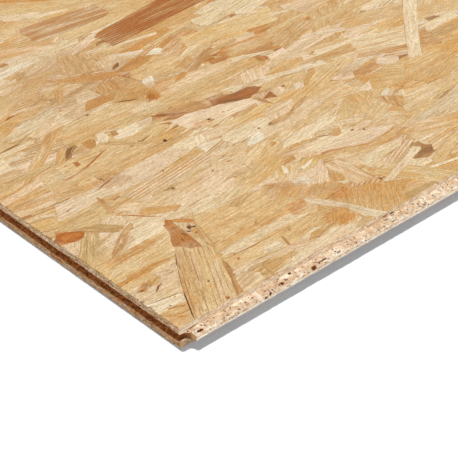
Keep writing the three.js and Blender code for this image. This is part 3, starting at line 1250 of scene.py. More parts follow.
@dataclass
class Board:
    """The whole board: two pressed faces and four milled sides, made in three bays.

    The bays are one physical piece. They keep each mesh and its flat map at a handy size.
    """

    length: float = 2050.0
    width: float = 675.0
    thickness: float = 18.0
    tongue: float = 8.0
    setback: float = 0.5
    cuts: Point = (690.0, 1370.0)
    relief: float = 0.42
    sheet: Sheet = Sheet()

    def __post_init__(self) -> None:
        """Finds the near corner of the covering rectangle, on the floor."""
        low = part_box(NODE)[0]
        self.corner = Vector((low[0], low[1] + self.tongue * MM, 0))

    def build(self, finishes: list[bpy.types.Material]) -> list[bpy.types.Object]:
        """Makes the bays.

        Args:
            finishes: the materials of the faces and of the milled sides.

        Returns:
            One object for each bay.
        """
        upper = StrandMat(self.length, self.width, seed=11)
        upper.scatter()
        upper.lay(NearCorner().lay())
        lower = StrandMat(self.length, self.width, seed=29)
        lower.scatter()
        ends = (0.0,) + self.cuts + (self.length,)
        half = self.sheet.long / 2
        lengths = sorted(self.cuts + tuple(start + half for start in ends[:-1]))
        sides = MilledEdges(self.corner).build((
            [self.corner.x + length * MM for length in lengths], [self.corner.y + half * MM]))
        log.info("milled sides: %d faces", len(sides.faces))
        names = ("board_grooved_end", "board_middle", "board_tongued_end")
        bays = []
        for number, name in enumerate(names):
            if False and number:
                break
            shape = self.bay(sides, upper, lower, ends[number], ends[number + 1])
            bays.append(self.dressed(name, shape, finishes))
        sides.free()
        return bays

    def bay(self, sides: bmesh.types.BMesh, upper: StrandMat, lower: StrandMat,
            start: float, end: float) -> bmesh.types.BMesh:
        """Joins the sides and both faces of one bay into a closed mesh.

        Args:
            sides: the milled sides of the whole board.
            upper: the strands of the upper face.
            lower: the strands of the lower face.
            start: where the bay starts along the board, in millimetres.
            end: where it ends.

        Returns:
            The bay's mesh.
        """
        shape = sides.copy()
        first, last = start == 0, end == self.length
        left = -math.inf if first else self.corner.x + start * MM
        right = math.inf if last else self.corner.x + end * MM
        away = [f for f in shape.faces if not left < f.calc_center_median().x < right]
        bmesh.ops.delete(shape, geom=away, context="FACES")
        for name in ("tone", "blush", "traits"):
            shape.faces.layers.float_color.new(name)
        shape.faces.layers.float.new("rim")
        shape.faces.layers.float.new("depth")
        shape.loops.layers.uv.new("OFBake")
        shape.loops.layers.uv.new("StrandMap")
        self.map_sides(shape, start)
        top = Region((start, 0), (end, self.width), (first, True, last, True), end)
        self.press(shape, Overlay(top, upper.strands), start, True)
        under = Region(
            (self.setback if first else start, 0), (end, self.width - self.setback),
            (first, True, last, True), start + self.sheet.long / 2)
        self.press(shape, Overlay(under, lower.strands), start, False)
        self.join_rims(shape)
        for number, cut in enumerate((start, end)):
            if 0 < cut < self.length:
                self.cap(shape, cut, number)
        return shape

    def map_sides(self, shape: bmesh.types.BMesh, start: float) -> None:
        """Lays the milled sides on the flat map and notes how deep in a groove each face is.

        Args:
            shape: the bay's mesh, with only its sides so far.
            start: where the bay starts along the board, in millimetres.
        """
        baked = shape.loops.layers.uv["OFBake"]
        depth = shape.faces.layers.float["depth"]
        size = (self.length, self.width)
        for face in shape.faces:
            face.material_index = 1
            spots = [(loop.vert.co - self.corner) / MM for loop in face.loops]
            middle = sum(spots, Vector()) / len(spots)
            gaps = [min(middle[axis], size[axis] - middle[axis]) for axis in (0, 1)]
            steep = upright(face)
            across = abs(face.normal.x) > abs(face.normal.y) if steep else gaps[0] < gaps[1]
            side = 2 if across else int(middle.y > self.width / 2)
            along_axis, inset_axis = (1, 0) if across else (0, 1)
            shift = 0 if across else start
            second = middle[along_axis] - shift > self.sheet.long / 2
            face[depth] = max(0.0, gaps[0 if across else 1])
            for loop, spot in zip(face.loops, spots):
                along = spot[along_axis] - shift
                inset = abs(min(spot[inset_axis], size[inset_axis] - spot[inset_axis]))
                number = side if steep else side * 2 + int(face.normal.z > 0)
                place = self.sheet.strip(number, steep, along, spot.z if steep else inset, second)
                loop[baked].uv = self.sheet.scaled(place)

    def press(self, shape: bmesh.types.BMesh, overlay: Overlay, start: float, upper: bool) -> None:
        """Adds one face of the board, with the relief of its strands.

        Args:
            shape: the bay's mesh.
            overlay: the seen parts of the strands.
            start: where the bay starts along the board, in millimetres.
            upper: whether it is the upper face.
        """
        faces, loops = shape.faces.layers, shape.loops.layers.uv
        tone, blush = faces.float_color["tone"], faces.float_color["blush"]
        traits, rim = faces.float_color["traits"], faces.float["rim"]
        baked, mapped = loops["OFBake"], loops["StrandMap"]
        depths = overlay.heights(self.relief)
        verts = []
        for point, depth in zip(overlay.points, depths):
            height = self.thickness - depth if upper else depth
            verts.append(shape.verts.new(self.corner + Vector((point.x, point.y, height)) * MM))
        frames = [self.frame_of(strand) for strand in overlay.strands]
        half = self.sheet.long / 2
        for patch in overlay.patches:
            corners = patch.corners if upper else patch.corners[::-1]
            try:
                face = shape.faces.new([verts[corner] for corner in corners])
            except ValueError:
                continue
            strand = overlay.strands[patch.owner] if patch.owner >= 0 else BARE
            middle, turn = frames[patch.owner] if patch.owner >= 0 else (Vector((0, 0)), 0.0)
            face[tone] = strand.tone.colour + (1.0,)
            face[blush] = strand.blush.colour + (1.0,)
            ring, pitch = strand.grain.value
            face[traits] = (ring, strand.seed, strand.rim, pitch)
            face[rim] = 2.0 if patch.worn else float(patch.sloped and strand.kind is not Kind.MARK)
            spots = [overlay.points[corner] for corner in corners]
            second = sum(spot.x for spot in spots) / 3 - start > half
            for loop, spot in zip(face.loops, spots):
                along = Vector((math.cos(turn), math.sin(turn)))
                offset = spot - middle
                loop[mapped].uv = (offset.dot(along), offset.dot(along.orthogonal()))
                x, y = spot.x - start, spot.y
                place = self.sheet.upper(x, y) if upper else self.sheet.lower(x, y, second)
                loop[baked].uv = self.sheet.scaled(place)

    @staticmethod
    def join_rims(shape: bmesh.types.BMesh) -> None:
        """Gives the milled sides and the pressed faces the same points where they meet.

        Args:
            shape: the bay's mesh, whose sides and faces aren't joined yet.
        """
        near, grid = 2e-6, 1e-5
        rims = defaultdict(list)
        for edge in shape.edges:
            first, last = (vert.co for vert in edge.verts)
            along = 0 if abs(first.x - last.x) > abs(first.y - last.y) else 1
            across = 1 - along
            level = abs(first.z - last.z) < near and abs(first[across] - last[across]) < near
            if edge.is_boundary and level:
                rims[along, round(first[across] / grid), round(first.z / grid)].append(edge)
        for (along, _, _), edges in rims.items():
            places = sorted({vert.co[along] for edge in edges for vert in edge.verts})
            for edge in edges:
                here, end = sorted(edge.verts, key=lambda vert: vert.co[along])
                for place in places:
                    if here.co[along] + near < place < end.co[along] - near:
                        share = (place - here.co[along]) / (end.co[along] - here.co[along])
                        here = bmesh.utils.edge_split(edge, here, share)[1]
        verts = [vert for vert in shape.verts if vert.is_boundary]
        bmesh.ops.remove_doubles(shape, verts=verts, dist=near)
        bmesh.ops.triangulate(shape, faces=[face for face in shape.faces if len(face.verts) > 4])

    @staticmethod
    def frame_of(strand: Strand) -> tuple[Vector, float]:
        """Finds how a strand lies.

        Args:
            strand: the strand.

        Returns:
            Its middle, and the angle of its grain in radians.
        """
        count = len(strand.outline)
        middle = Vector((
            sum(point[0] for point in strand.outline) / count,
            sum(point[1] for point in strand.outline) / count,
        ))
        return middle, math.radians(strand.heading)

    def cap(self, shape: bmesh.types.BMesh, cut: float, number: int) -> None:
        """Closes a bay where it meets the next one.

        Args:
            shape: the bay's mesh.
            cut: the place of the cut along the board, in millimetres.
            number: 0 for the bay's low end and 1 for its high end.
        """
        where = self.corner.x + cut * MM
        rim = [
            e for e in shape.edges
            if e.is_boundary and all(abs(v.co.x - where) < 4e-6 for v in e.verts)
        ]
        filled = bmesh.ops.triangle_fill(shape, use_beauty=True, edges=rim)["geom"]
        faces = [part for part in filled if isinstance(part, bmesh.types.BMFace)]
        fold = self.corner + Vector((0, self.sheet.long / 2 * MM, 0))
        parts = faces + list({e for f in faces for e in f.edges})
        parts += list({v for f in faces for v in f.verts})
        halved = bmesh.ops.bisect_plane(
            shape, geom=parts, dist=1e-7, plane_co=fold, plane_no=Vector((0, 1, 0)))["geom"]
        faces = [part for part in halved if isinstance(part, bmesh.types.BMFace)]
        log.info("cut at %.0f mm: %d edges, %d faces", cut, len(rim), len(faces))
        baked = shape.loops.layers.uv["OFBake"]
        shape.normal_update()
        for face in faces:
            face.material_index = 1
            if face.normal.x * (1 if number else -1) < 0:
                face.normal_flip()
            middle = (face.calc_center_median() - self.corner).y / MM
            for loop in face.loops:
                spot = (loop.vert.co - self.corner) / MM
                second = middle > self.sheet.long / 2
                place = self.sheet.strip(3 + number, True, spot.y, spot.z, second)
                loop[baked].uv = self.sheet.scaled(place)

    @staticmethod
    def dressed(name: str, shape: bmesh.types.BMesh,
                finishes: list[bpy.types.Material]) -> bpy.types.Object:
        """Makes an object of a bay's mesh, with its finishes and its place in the part.

        Args:
            name: the piece's name.
            shape: the mesh, which is freed.
            finishes: the materials of the faces and of the milled sides.

        Returns:
            The finished piece.
        """
        mesh = bpy.data.meshes.new(name)
        shape.to_mesh(mesh)
        shape.free()
        for finish in finishes:
            mesh.materials.append(finish)
        piece = bpy.data.objects.new(name, mesh)
        bpy.context.scene.collection.objects.link(piece)
        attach(piece, "root")
        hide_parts(NODE)
        log.info("%s: %d triangles", name, sum(len(face.vertices) - 2 for face in mesh.polygons))
        return piece


Socket = bpy.types.NodeSocket
Value = Socket | float


class Nodes:
    """Writes the nodes of one material, or of the sky."""

    def __init__(self, owner: bpy.types.Material | bpy.types.World) -> None:
        """Starts with the plain shader that a new material or world has.

        Args:
            owner: the material or world.
        """
        owner.use_nodes = True
        self.owner = owner
        self.tree = owner.node_tree
        self.shader = self.tree.nodes.get("Principled BSDF") or self.tree.nodes["Background"]

    def add(self, kind: str, inputs: dict | None = None, **settings) -> bpy.types.Node:
        """Adds a node.

        Args:
            kind: the node's type, without its ShaderNode prefix.
            inputs: sockets, or plain values, by the input's name or number.
            settings: the node's own settings.

        Returns:
            The node.
        """
        node = self.tree.nodes.new("ShaderNode" + kind)
        for key, value in settings.items():
            setattr(node, key, value)
        for key, value in (inputs or {}).items():
            self.feed(node.inputs[key], value)
        return node

    def feed(self, target: Socket, value: Value | tuple) -> None:
        """Links a socket to an input, or sets the input to a plain value.

        Args:
            target: the input.
            value: the socket or the plain value.
        """
        if isinstance(value, Socket):
            self.tree.links.new(value, target)
        elif isinstance(value, tuple) and len(value) == 3 and target.type == "RGBA":
            target.default_value = value + (1.0,)
        else:
            target.default_value = value

    def attribute(self, name: str) -> bpy.types.NodeOutputs:
        """Reads what the mesh says of each face."""
        return self.add("Attribute", attribute_name=name).outputs

    def axes(self, place: Socket) -> bpy.types.NodeOutputs:
        """Splits a place into x, y and z."""
        return self.add("SeparateXYZ", {0: place}).outputs

    def channels(self, colour: Socket) -> bpy.types.NodeOutputs:
        """Splits a colour into red, green and blue."""
        return self.add("SeparateColor", {0: colour}).outputs

    def joined(self, x: Value, y: Value, z: Value) -> Socket:
        """Makes a place, or a colour, of three values."""
        return self.add("CombineXYZ", {0: x, 1: y, 2: z}).outputs[0]

    def scaled(self, place: Socket, scale: Point3) -> Socket:
        """Stretches a place by a scale for each axis."""
        return self.add("VectorMath", {0: place, 1: scale}, operation="MULTIPLY").outputs[0]

    def board(self) -> Socket:
        """Gives places on the board in millimetres."""
        return self.scaled(self.add("TexCoord").outputs["Object"], (1 / MM,) * 3)

    def math(self, operation: str, *values: Value) -> Socket:
        """Does arithmetic on up to three values."""
        return self.add("Math", dict(enumerate(values)), operation=operation).outputs[0]

    def times(self, first: Value, second: Value) -> Socket:
        """Multiplies two values."""
        return self.math("MULTIPLY", first, second)

    def most(self, first: Value, second: Value) -> Socket:
        """Takes the larger of two values."""
        return self.math("MAXIMUM", first, second)

    def sway(self, value: Socket, strength: Value, middle: Value) -> Socket:
        """Turns a value that lies around a half into one that lies around a middle."""
        return self.math("MULTIPLY_ADD", self.math("SUBTRACT", value, 0.5), strength, middle)

    def ramp(self, value: Socket, low: float, high: float,
             to_low: Value = 0.0, to_high: Value = 1.0) -> Socket:
        """Maps a value smoothly from one range to another, and holds it outside."""
        inputs = {"Value": value, 1: low, 2: high, 3: to_low, 4: to_high}
        return self.add("MapRange", inputs, interpolation_type="SMOOTHSTEP").outputs[0]

    def noise(self, place: Socket, scale: Point3, detail: float = 2.0, rough: float = 0.5) -> Socket:
        """Gives noise around a half at a place, stretched by a scale for each axis."""
        inputs = dict(Vector=self.scaled(place, scale), Scale=1.0, Detail=detail, Roughness=rough)
        return self.add("TexNoise", inputs).outputs[0]

    def bent(self, place: Socket, spot: Socket, scale: float, reach: Point3,
             detail: float = 2.0) -> Socket:
        """Bends a place with noise, by up to a reach along each axis and by half of it on the whole."""
        wave = self.add("TexNoise", dict(Vector=spot, Scale=scale, Detail=detail)).outputs["Color"]
        return self.add("VectorMath", {0: wave, 1: reach, 2: place}, operation="MULTIPLY_ADD").outputs[0]

    def cells(self, place: Socket, scale: Point3) -> bpy.types.NodeOutputs:
        """Splits the board into ragged cells, each with a colour of its own."""
        bent = self.bent(self.scaled(place, scale), place, 0.5, (0.9, 0.9, 0.9))
        return self.add("TexVoronoi", {"Vector": bent, "Scale": 1.0}).outputs

    def ball(self, place: Socket, middle: Point3, size: Point3, heading: float = 0.0) -> Socket:
        """Marks an ellipsoid.

        Args:
            place: the place that is looked at.
            middle: the ellipsoid's middle.
            size: its three diameters.
            heading: the angle of its length, in degrees.

        Returns:
            1 in the middle, and 0 at the surface and beyond.
        """
        local = self.add("Mapping", {
            "Vector": place, "Location": middle, "Rotation": (0.0, 0.0, math.radians(heading)),
            "Scale": tuple(across / 2 for across in size),
        }, vector_type="TEXTURE").outputs[0]
        return self.add("TexGradient", {0: local}, gradient_type="SPHERICAL").outputs[1]

    def mix(self, amount: Value, first: Socket | Colour, second: Socket | Colour,
            way: str = "MIX") -> Socket:
        """Mixes an amount of the second colour into the first one."""
        inputs = {0: amount, 6: first, 7: second}
        return self.add("Mix", inputs, data_type="RGBA", blend_type=way).outputs[2]

    def paint(self, amount: Value, below: Socket, paint: Colour) -> Socket:
        """Mixes an sRGB colour over another one."""
        return self.mix(amount, below, linear(paint))

    def tinted(self, below: Socket, tint: Colour) -> Socket:
        """Multiplies a colour by an sRGB colour."""
        return self.mix(1.0, below, linear(tint), "MULTIPLY")

    def lit(self, colour: Socket, light: Socket, red: float, blue: float) -> Socket:
        """Multiplies a colour by a light around 1, with a power for red and one for blue."""
        shade = self.joined(self.math("POWER", light, red), light, self.math("POWER", light, blue))
        return self.mix(1.0, colour, shade, "MULTIPLY")

    def seen(self) -> Socket:
        """Tells what the camera sees, itself or in gloss and glass.

        Returns:
            1 there, and 0 for the rest of the light.
        """
        path = self.add("LightPath").outputs
        mirrored = self.most(path["Is Glossy Ray"], path["Is Transmission Ray"])
        return self.most(path["Is Camera Ray"], mirrored)

    def finish(self, colour: Socket, rough: Socket, height: Socket, depth: float) -> bpy.types.Material:
        """Wires colour, roughness and bump to the shader.

        Args:
            colour: the base colour.
            rough: the roughness.
            height: the bump's height, from 0 to 1.
            depth: what that height measures, in metres.

        Returns:
            The material.
        """
        bump = self.add("Bump", {"Height": height, "Distance": depth, "Strength": 1.0})
        self.feed(self.shader.inputs["Base Color"], colour)
        self.feed(self.shader.inputs["Roughness"], rough)
        self.feed(self.shader.inputs["Normal"], bump.outputs[0])
        return self.owner


@dataclass(frozen=True)
class Stain:
    """A soft patch of colour in the upper face, measured from the near corner in millimetres."""

    tone: Tone
    strength: float
    x: float
    y: float
    long: float
    wide: float
    heading: float = 0.0


def stains(tone: Tone, patches: str) -> list[Stain]:
    """Reads patches of one tone: each one's strength, x, y, length, width and maybe heading."""
    return [Stain(tone, *numbers(patch)) for patch in patches.split()]


STAINS = (
    *stains(BROWN, "0.42,160,330,190,130 0.5,34,101,50,12,34"),
    *stains(AMBER, "0.8,34,90,66,11,3"),
    *stains(BROWN, "0.9,12,52,20,12,10"),
    *stains(AMBER, "0.7,26,67,60,7,2 0.6,130,55,120,14"),
    *stains(ORANGE, "0.7,165,51,26,18,30"),
    *stains(AMBER, "0.55,182,66,56,26,-35"),
    *stains(BROWN, "0.5,178,80,30,16,-20"),
    *stains(AMBER, "0.85,179,21,36,30"),
    *stains(ORANGE, "0.6,181,16,20,14 0.75,203,41,34,20,20"),
    *stains(AMBER, "0.5,224,34,50,22,20 0.45,168,44,32,20 0.6,17,65,24,12 0.5,84,88,26,26"),
    *stains(OLIVE, "0.5,18,112,30,16,50"),
    *stains(BROWN, "0.38,45,40,100,18,59 0.5,72,11,26,18 0.5,84,176,36,26 0.45,128,276,36,22"),
    *stains(BROWN, "0.55,265,192,36,26 0.4,164,228,28,18 0.4,348,172,30,20 0.45,180,261,24,18"),
    *stains(BROWN, "0.4,92,228,30,20"),
    *stains(CREAM, "0.65,250,64,64,26,-56 0.6,180,158,34,28 0.6,272,124,60,24,34"),
    *stains(CREAM, "0.5,312,92,38,36 0.6,176,246,36,24 0.5,332,149,32,24"),
    *stains(PALE, "0.6,268,213,26,20"),
    *stains(CREAM, "0.45,86,19,26,14 0.65,134,144,70,14,6"),
    *stains(AMBER, "0.6,212,268,62,24,31 0.55,194,193,30,20"),
    *stains(CREAM, "0.55,201,332,38,18,20 0.55,232,132,36,15,30"),
    *stains(PALE, "0.5,228,220,30,18,20"),
)


@dataclass(frozen=True)
class StrandFinish:
    """Pressed strands: fibres, ring lines, stained streaks, a thin film of resin, and dark strand edges
    that are partly painted shadow.
    """

    corner: Vector
    thickness: float = 18.0
    fibre: float = 2.08
    mottle: float = 1.28
    uneven: float = 0.13
    line: float = 0.34
    ring_dark: float = 0.7
    streak: float = 0.62
    stain: float = 0.52
    fleck: float = 0.6
    hair: float = 0.5
    rough: tuple[float, float] = (0.5, 0.72)
    gloss: float = 0.2
    bump: float = 0.00018
    apart: float = 371.0
    bend: Point3 = (26.0, 13.0, 0.0)
    honey: Colour = (247, 222, 170)
    late_wood: Colour = (190, 132, 84)
    fleck_brown: Colour = (146, 100, 58)
    hair_pale: Colour = (240, 224, 196)
    bruise: Colour = (206, 170, 130)
    groove_rim: Colour = (104, 68, 38)
    # Partly the strands' worn rims, partly painted shadow lines at their steps.
    edge_wear_and_shade: Colour = (120, 80, 44)
    aged: Colour = (254, 252, 244)

    def build(self) -> bpy.types.Material:
        """Makes the finish, which follows each strand's own map.

        Returns:
            The material.
        """
        n = Nodes(bpy.data.materials.new("pressed_strands"))
        traits = n.attribute("traits")
        ring, seed, rim = n.channels(traits["Color"])
        place = n.axes(n.add("UVMap", uv_map="StrandMap").outputs[0])
        depth = n.times(seed, self.apart)
        spot = n.joined(place[0], place[1], depth)
        board = n.board()

        tone = n.attribute("tone")["Color"]
        green = n.channels(tone)[1]
        broad = n.noise(spot, (0.018, 0.16, 1.0), 3.0, 0.55)
        streak = n.ramp(broad, 0.44, 0.64, 0.0, self.streak)
        colour = n.mix(streak, tone, n.attribute("blush")["Color"])
        honey = n.noise(board, (0.021, 0.042, 0.2), 3.0, 0.6)
        takes = n.ramp(n.channels(tone)[2], 0.46, 0.3, 0.2, 1.0)
        amount = n.times(n.ramp(honey, 0.48, 0.66, 0.0, self.stain), takes)
        colour = n.mix(amount, colour, n.tinted(colour, self.honey))
        colour = n.mix(n.ramp(honey, 0.46, 0.32, 0.0, self.stain * 0.4), colour, CREAM.colour)
        colour = self.stained(n, board, colour, n.ramp(green, 0.1, 0.28))

        fine = n.noise(spot, (0.17, 1.5, 1.0), 4.0, 0.68)
        medium = n.noise(spot, (0.055, 0.5, 1.0), 3.0, 0.62)
        grain = n.math("ADD", n.times(fine, 0.58), n.times(medium, 0.42))
        mottle = n.noise(board, (0.5, 0.55, 0.5), 4.0, 0.75)
        light = n.sway(seed, self.uneven, 1.0)
        light = n.sway(grain, self.fibre, light)
        light = n.sway(mottle, self.mottle, light)

        dark = self.ring_lines(n, spot, place, depth, ring, traits["Alpha"])
        colour = n.mix(dark, colour, n.tinted(colour, self.late_wood))
        flecks = n.noise(spot, (0.14, 0.75, 1.0), 2.0, 0.6)
        colour = n.paint(n.ramp(flecks, 0.645, 0.73, 0.0, self.fleck), colour, self.fleck_brown)
        hairs = n.noise(spot, (0.08, 1.3, 1.0), 1.0)
        hair = n.times(n.ramp(hairs, 0.62, 0.7, 0.0, self.hair), n.ramp(green, 0.2, 0.42))
        colour = n.paint(hair, colour, self.hair_pale)
        colour = self.worn(n, spot, board, rim, colour)
        colour = n.lit(n.tinted(colour, self.aged), light, 0.85, 1.35)
        height = n.math("SUBTRACT", grain, n.times(dark, 0.5))
        n.shader.inputs["Specular IOR Level"].default_value = self.gloss
        return n.finish(colour, n.ramp(medium, 0.3, 0.7, *self.rough), height, self.bump)

    def ring_lines(self, n: Nodes, spot: Socket, place: bpy.types.NodeOutputs, depth: Socket,
                   ring: Socket, pitch: Socket) -> Socket:
        """Draws the late wood of the year rings, and a few hair lines along the grain.

        Args:
            n: the material's nodes.
            spot: places in the strand's own wood.
            place: the same along and across the strand.
            depth: where the strand was cut from.
            ring: how strong its rings are.
            pitch: how far apart they are, in millimetres.

        Returns:
            How dark each place is.
        """
        bend = n.noise(spot, (0.008, 0.035, 1.0), 2.0, 0.6)
        turns = n.math("MULTIPLY_ADD", bend, 1.5, n.math("DIVIDE", place[1], pitch))
        saw = n.math("FRACT", turns)
        late = n.times(n.ramp(saw, 0.72, 0.93), n.ramp(saw, 1.0, 0.95))
        ring_place = n.joined(place[0], n.math("FLOOR", turns), depth)
        own = n.noise(ring_place, (0.022, 0.73, 1.0), 2.0, 0.6)
        faintest = n.ramp(ring, 0.8, 1.2, 0.15, 0.75)
        late = n.times(late, n.ramp(own, 0.34, 0.62, faintest, 1.25))
        contour = n.noise(spot, (0.014, 0.42, 1.0), 2.0, 0.55)
        away = n.math("ABSOLUTE", n.math("SUBTRACT", contour, 0.5))
        thin = n.ramp(away, 0.022, 0.0, 0.0, self.line)
        return n.most(n.times(late, n.times(ring, self.ring_dark)), thin)

    def worn(self, n: Nodes, spot: Socket, board: Socket, rim: Socket, colour: Socket) -> Socket:
        """Darkens the strands' edges, as worn rims and as painted shadow lines at their steps, and
        bruises the board's own edges.

        Args:
            n: the material's nodes.
            spot: places in the strand's own wood.
            board: places on the board in millimetres.
            rim: how dark the strand's edge is.
            colour: the colour so far.

        Returns:
            The colour with its worn edges.
        """
        slope = n.attribute("rim")["Fac"]
        along = n.noise(spot, (0.05, 0.05, 1.0), 2.0)
        # Partly painted shade: the strands' sloped edges are darkened as worn rims and as shadow lines.
        fray_and_painted_light = n.times(slope, n.times(rim, n.ramp(along, 0.38, 0.6)))
        dots = n.ramp(n.noise(board, (0.5, 0.5, 0.5), 2.0), 0.45, 0.6, 0.1, 0.75)
        dotted = n.times(n.math("GREATER_THAN", slope, 1.5), dots)
        amount = n.most(n.math("MINIMUM", fray_and_painted_light, 1.0), dotted)
        x, end = n.axes(board)[0], self.corner.x / MM
        at_groove = n.ramp(x, end + 1.2, end + 0.6)
        beside = n.ramp(x, end + 3.4, end + 0.4, 0.0, 0.24)
        nicks = n.math("ADD", n.noise(board, (0.62, 0.34, 0.5), 3.0, 0.7), beside)
        amount = n.most(amount, n.ramp(nicks, 0.76, 0.82, 0.0, 0.85))
        board_edge = n.mix(at_groove, linear(self.bruise), linear(self.groove_rim))
        inner = n.math("LESS_THAN", slope, 1.5)
        return n.mix(amount, colour, n.paint(inner, board_edge, self.edge_wear_and_shade))

    def stained(self, n: Nodes, board: Socket, colour: Socket, takes: Socket) -> Socket:
        """Lays the soft patches over a colour.

        Args:
            n: the material's nodes.
            board: places on the board in millimetres.
            colour: the colour below.
            takes: how much of a patch each place takes.

        Returns:
            The colour with its patches.
        """
        bent = n.bent(board, board, 0.11, self.bend, 3.0)
        for stain in STAINS:
            middle = (
                self.corner.x / MM + stain.x + self.bend[0] / 2,
                self.corner.y / MM + stain.y + self.bend[1] / 2, self.thickness)
            size = (stain.long, stain.wide, self.thickness)
            ball = n.ball(bent, middle, size, stain.heading)
            amount = n.times(n.ramp(ball, 0.0, 0.55, 0.0, stain.strength), takes)
            colour = n.mix(amount, colour, stain.tone.colour)
        return colour


@dataclass(frozen=True)
class EdgeFinish:
    """Milled strand board: cut layers of flakes with pits and dust, painted shade in the grooves and torn
    holes, and a painted highlight along the tongue's lower edge.
    """

    corner: Vector
    gloss: float = 0.1
    bump: float = 0.0003
    rough: tuple[float, float] = (0.7, 0.85)
    ragged: Point3 = (1.6, 1.2, 1.2)
    pale: Colour = (244, 229, 205)
    end: Colour = (243, 213, 170)
    warm: Colour = (226, 203, 182)
    torn_pale: Colour = (255, 244, 228)
    torn_brown: Colour = (168, 122, 82)
    pit: Colour = (92, 56, 34)
    # Painted shade in the torn holes.
    hole: Colour = (104, 50, 26)
    # Painted shade: the groove's colour, and the darker brown that mottles it.
    groove: Colour = (236, 169, 102)
    groove_shade: Colour = (150, 93, 53)
    # Painted highlight: pale torn fibres along the tongue's lower edge.
    fibre_highlight: Colour = (252, 242, 224)
    # Painted shade at the groove's open end; the groove is paler where it runs through the tongue.
    open_end_shade: Colour = (178, 124, 80)
    tongue_end: Colour = (234, 190, 143)
    lip_end: Colour = (184, 148, 106)

    def build(self) -> bpy.types.Material:
        """Makes the finish, which lies in the board's own directions.

        Returns:
            The material.
        """
        n = Nodes(bpy.data.materials.new("milled_edges"))
        place = n.board()
        spot = n.add("VectorMath", {0: place, 1: tuple(-self.corner / MM)}, operation="ADD").outputs[0]
        grit = n.noise(place, (0.9, 0.9, 1.2), 4.0, 0.8)
        fluff = n.noise(place, (0.55, 0.42, 0.8), 3.0, 0.75)
        dark = self.pitted(n, place)
        colour = n.paint(dark, self.layered(n, place, grit), self.pit)
        colour = self.corner_marked(n, spot, fluff, colour)
        depth = n.sway(grit, 1.2, n.attribute("depth")["Fac"])
        # Painted shade: faces deep in a groove take the groove's darker, browner colour, and the torn
        # holes are painted dark.
        deep = n.ramp(depth, 0.55, 0.95)
        colour = n.mix(deep, self.shade_holes(n, spot, colour), self.grooved(n, spot, fluff))
        height = n.math("SUBTRACT", grit, n.times(dark, 0.8))
        n.shader.inputs["Specular IOR Level"].default_value = self.gloss
        return n.finish(colour, n.ramp(grit, 0.3, 0.7, *self.rough), height, self.bump)

    def layered(self, n: Nodes, place: Socket, grit: Socket) -> Socket:
        """Colours the cut layers of flakes, which are torn further on the board's ends.

        Args:
            n: the material's nodes.
            place: places on the board in millimetres.
            grit: the fine roughness of the cut.

        Returns:
            The colour.
        """
        facing = n.axes(n.add("TexCoord").outputs["Normal"])[0]
        ends = n.ramp(n.math("ABSOLUTE", facing), 0.4, 0.8)
        body = n.mix(ends, linear(self.pale), linear(self.end))
        darker = n.tinted(body, self.warm)
        layers = n.noise(place, (0.045, 0.045, 0.85), 3.0, 0.55)
        chips = n.noise(place, (0.22, 0.22, 0.5), 3.0, 0.6)
        blend = n.math("ADD", n.times(layers, 0.5), n.times(chips, 0.5))
        colour = n.mix(n.ramp(blend, 0.42, 0.6), body, darker)
        streaks = n.noise(place, (0.16, 0.16, 1.3), 4.0, 0.75)
        pale = n.times(ends, n.ramp(streaks, 0.47, 0.4, 0.0, 0.75))
        brown = n.times(ends, n.ramp(streaks, 0.53, 0.6, 0.0, 0.95))
        colour = n.paint(brown, n.paint(pale, colour, self.torn_pale), self.torn_brown)
        flake = n.channels(n.cells(place, (0.34, 0.34, 0.7))["Color"])[0]
        colour = n.mix(n.ramp(flake, 0.4, 1.0), colour, darker)
        strength = n.math("MULTIPLY_ADD", ends, 2.1, 1.7)
        return n.lit(colour, n.sway(grit, strength, 1.0), 0.85, 1.3)

    @staticmethod
    def pitted(n: Nodes, place: Socket) -> Socket:
        """Finds the pits, dots and thin seams between the flakes.

        Args:
            n: the material's nodes.
            place: places on the board in millimetres.

        Returns:
            How dark each place is.
        """
        few = n.ramp(n.noise(place, (0.07, 0.07, 0.2), 2.0), 0.35, 0.62, 0.0, 0.07)
        pits = n.math("ADD", n.noise(place, (0.34, 0.34, 0.6), 3.0, 0.7), few)
        speck = n.cells(place, (0.42, 0.42, 0.75))
        size = n.times(n.ramp(n.channels(speck["Color"])[1], 0.44, 1.0), 0.43)
        dot = n.ramp(n.math("SUBTRACT", size, speck["Distance"]), -0.05, 0.1, 0.0, 0.85)
        contour = n.noise(place, (0.1, 0.1, 0.55), 2.0, 0.6)
        seam = n.ramp(n.math("ABSOLUTE", n.math("SUBTRACT", contour, 0.5)), 0.016, 0.0, 0.0, 0.5)
        return n.most(n.most(n.ramp(pits, 0.68, 0.72, 0.0, 0.9), dot), seam)

    def corner_marked(self, n: Nodes, spot: Socket, fluff: Socket, colour: Socket) -> Socket:
        """Browns the lower lip beside the near corner, and paints a pale highlight of torn fibres along
        the lower edge of the tongue.

        Args:
            n: the material's nodes.
            spot: places from the near corner in millimetres.
            fluff: the coarse roughness of torn fibres.
            colour: the colour so far.

        Returns:
            The colour with both.
        """
        x, y, z = n.axes(spot)
        beside = n.times(n.ramp(x, 10.0, 8.0), n.ramp(y, 2.5, 0.8))
        under = n.times(beside, n.ramp(z, 6.4, 5.2))
        browned = n.times(under, n.ramp(fluff, 0.38, 0.58, 0.4, 1.0))
        # Painted highlight: pale torn fibres along the tongue's lower edge, which faces down into shade.
        low = n.times(n.ramp(z, 9.4, 8.2), n.ramp(y, -5.6, -6.8))
        fray_and_painted_light = n.times(low, n.ramp(fluff, 0.4, 0.56, 0.25, 0.85))
        return n.paint(fray_and_painted_light, n.paint(browned, colour, self.lip_end), self.fibre_highlight)

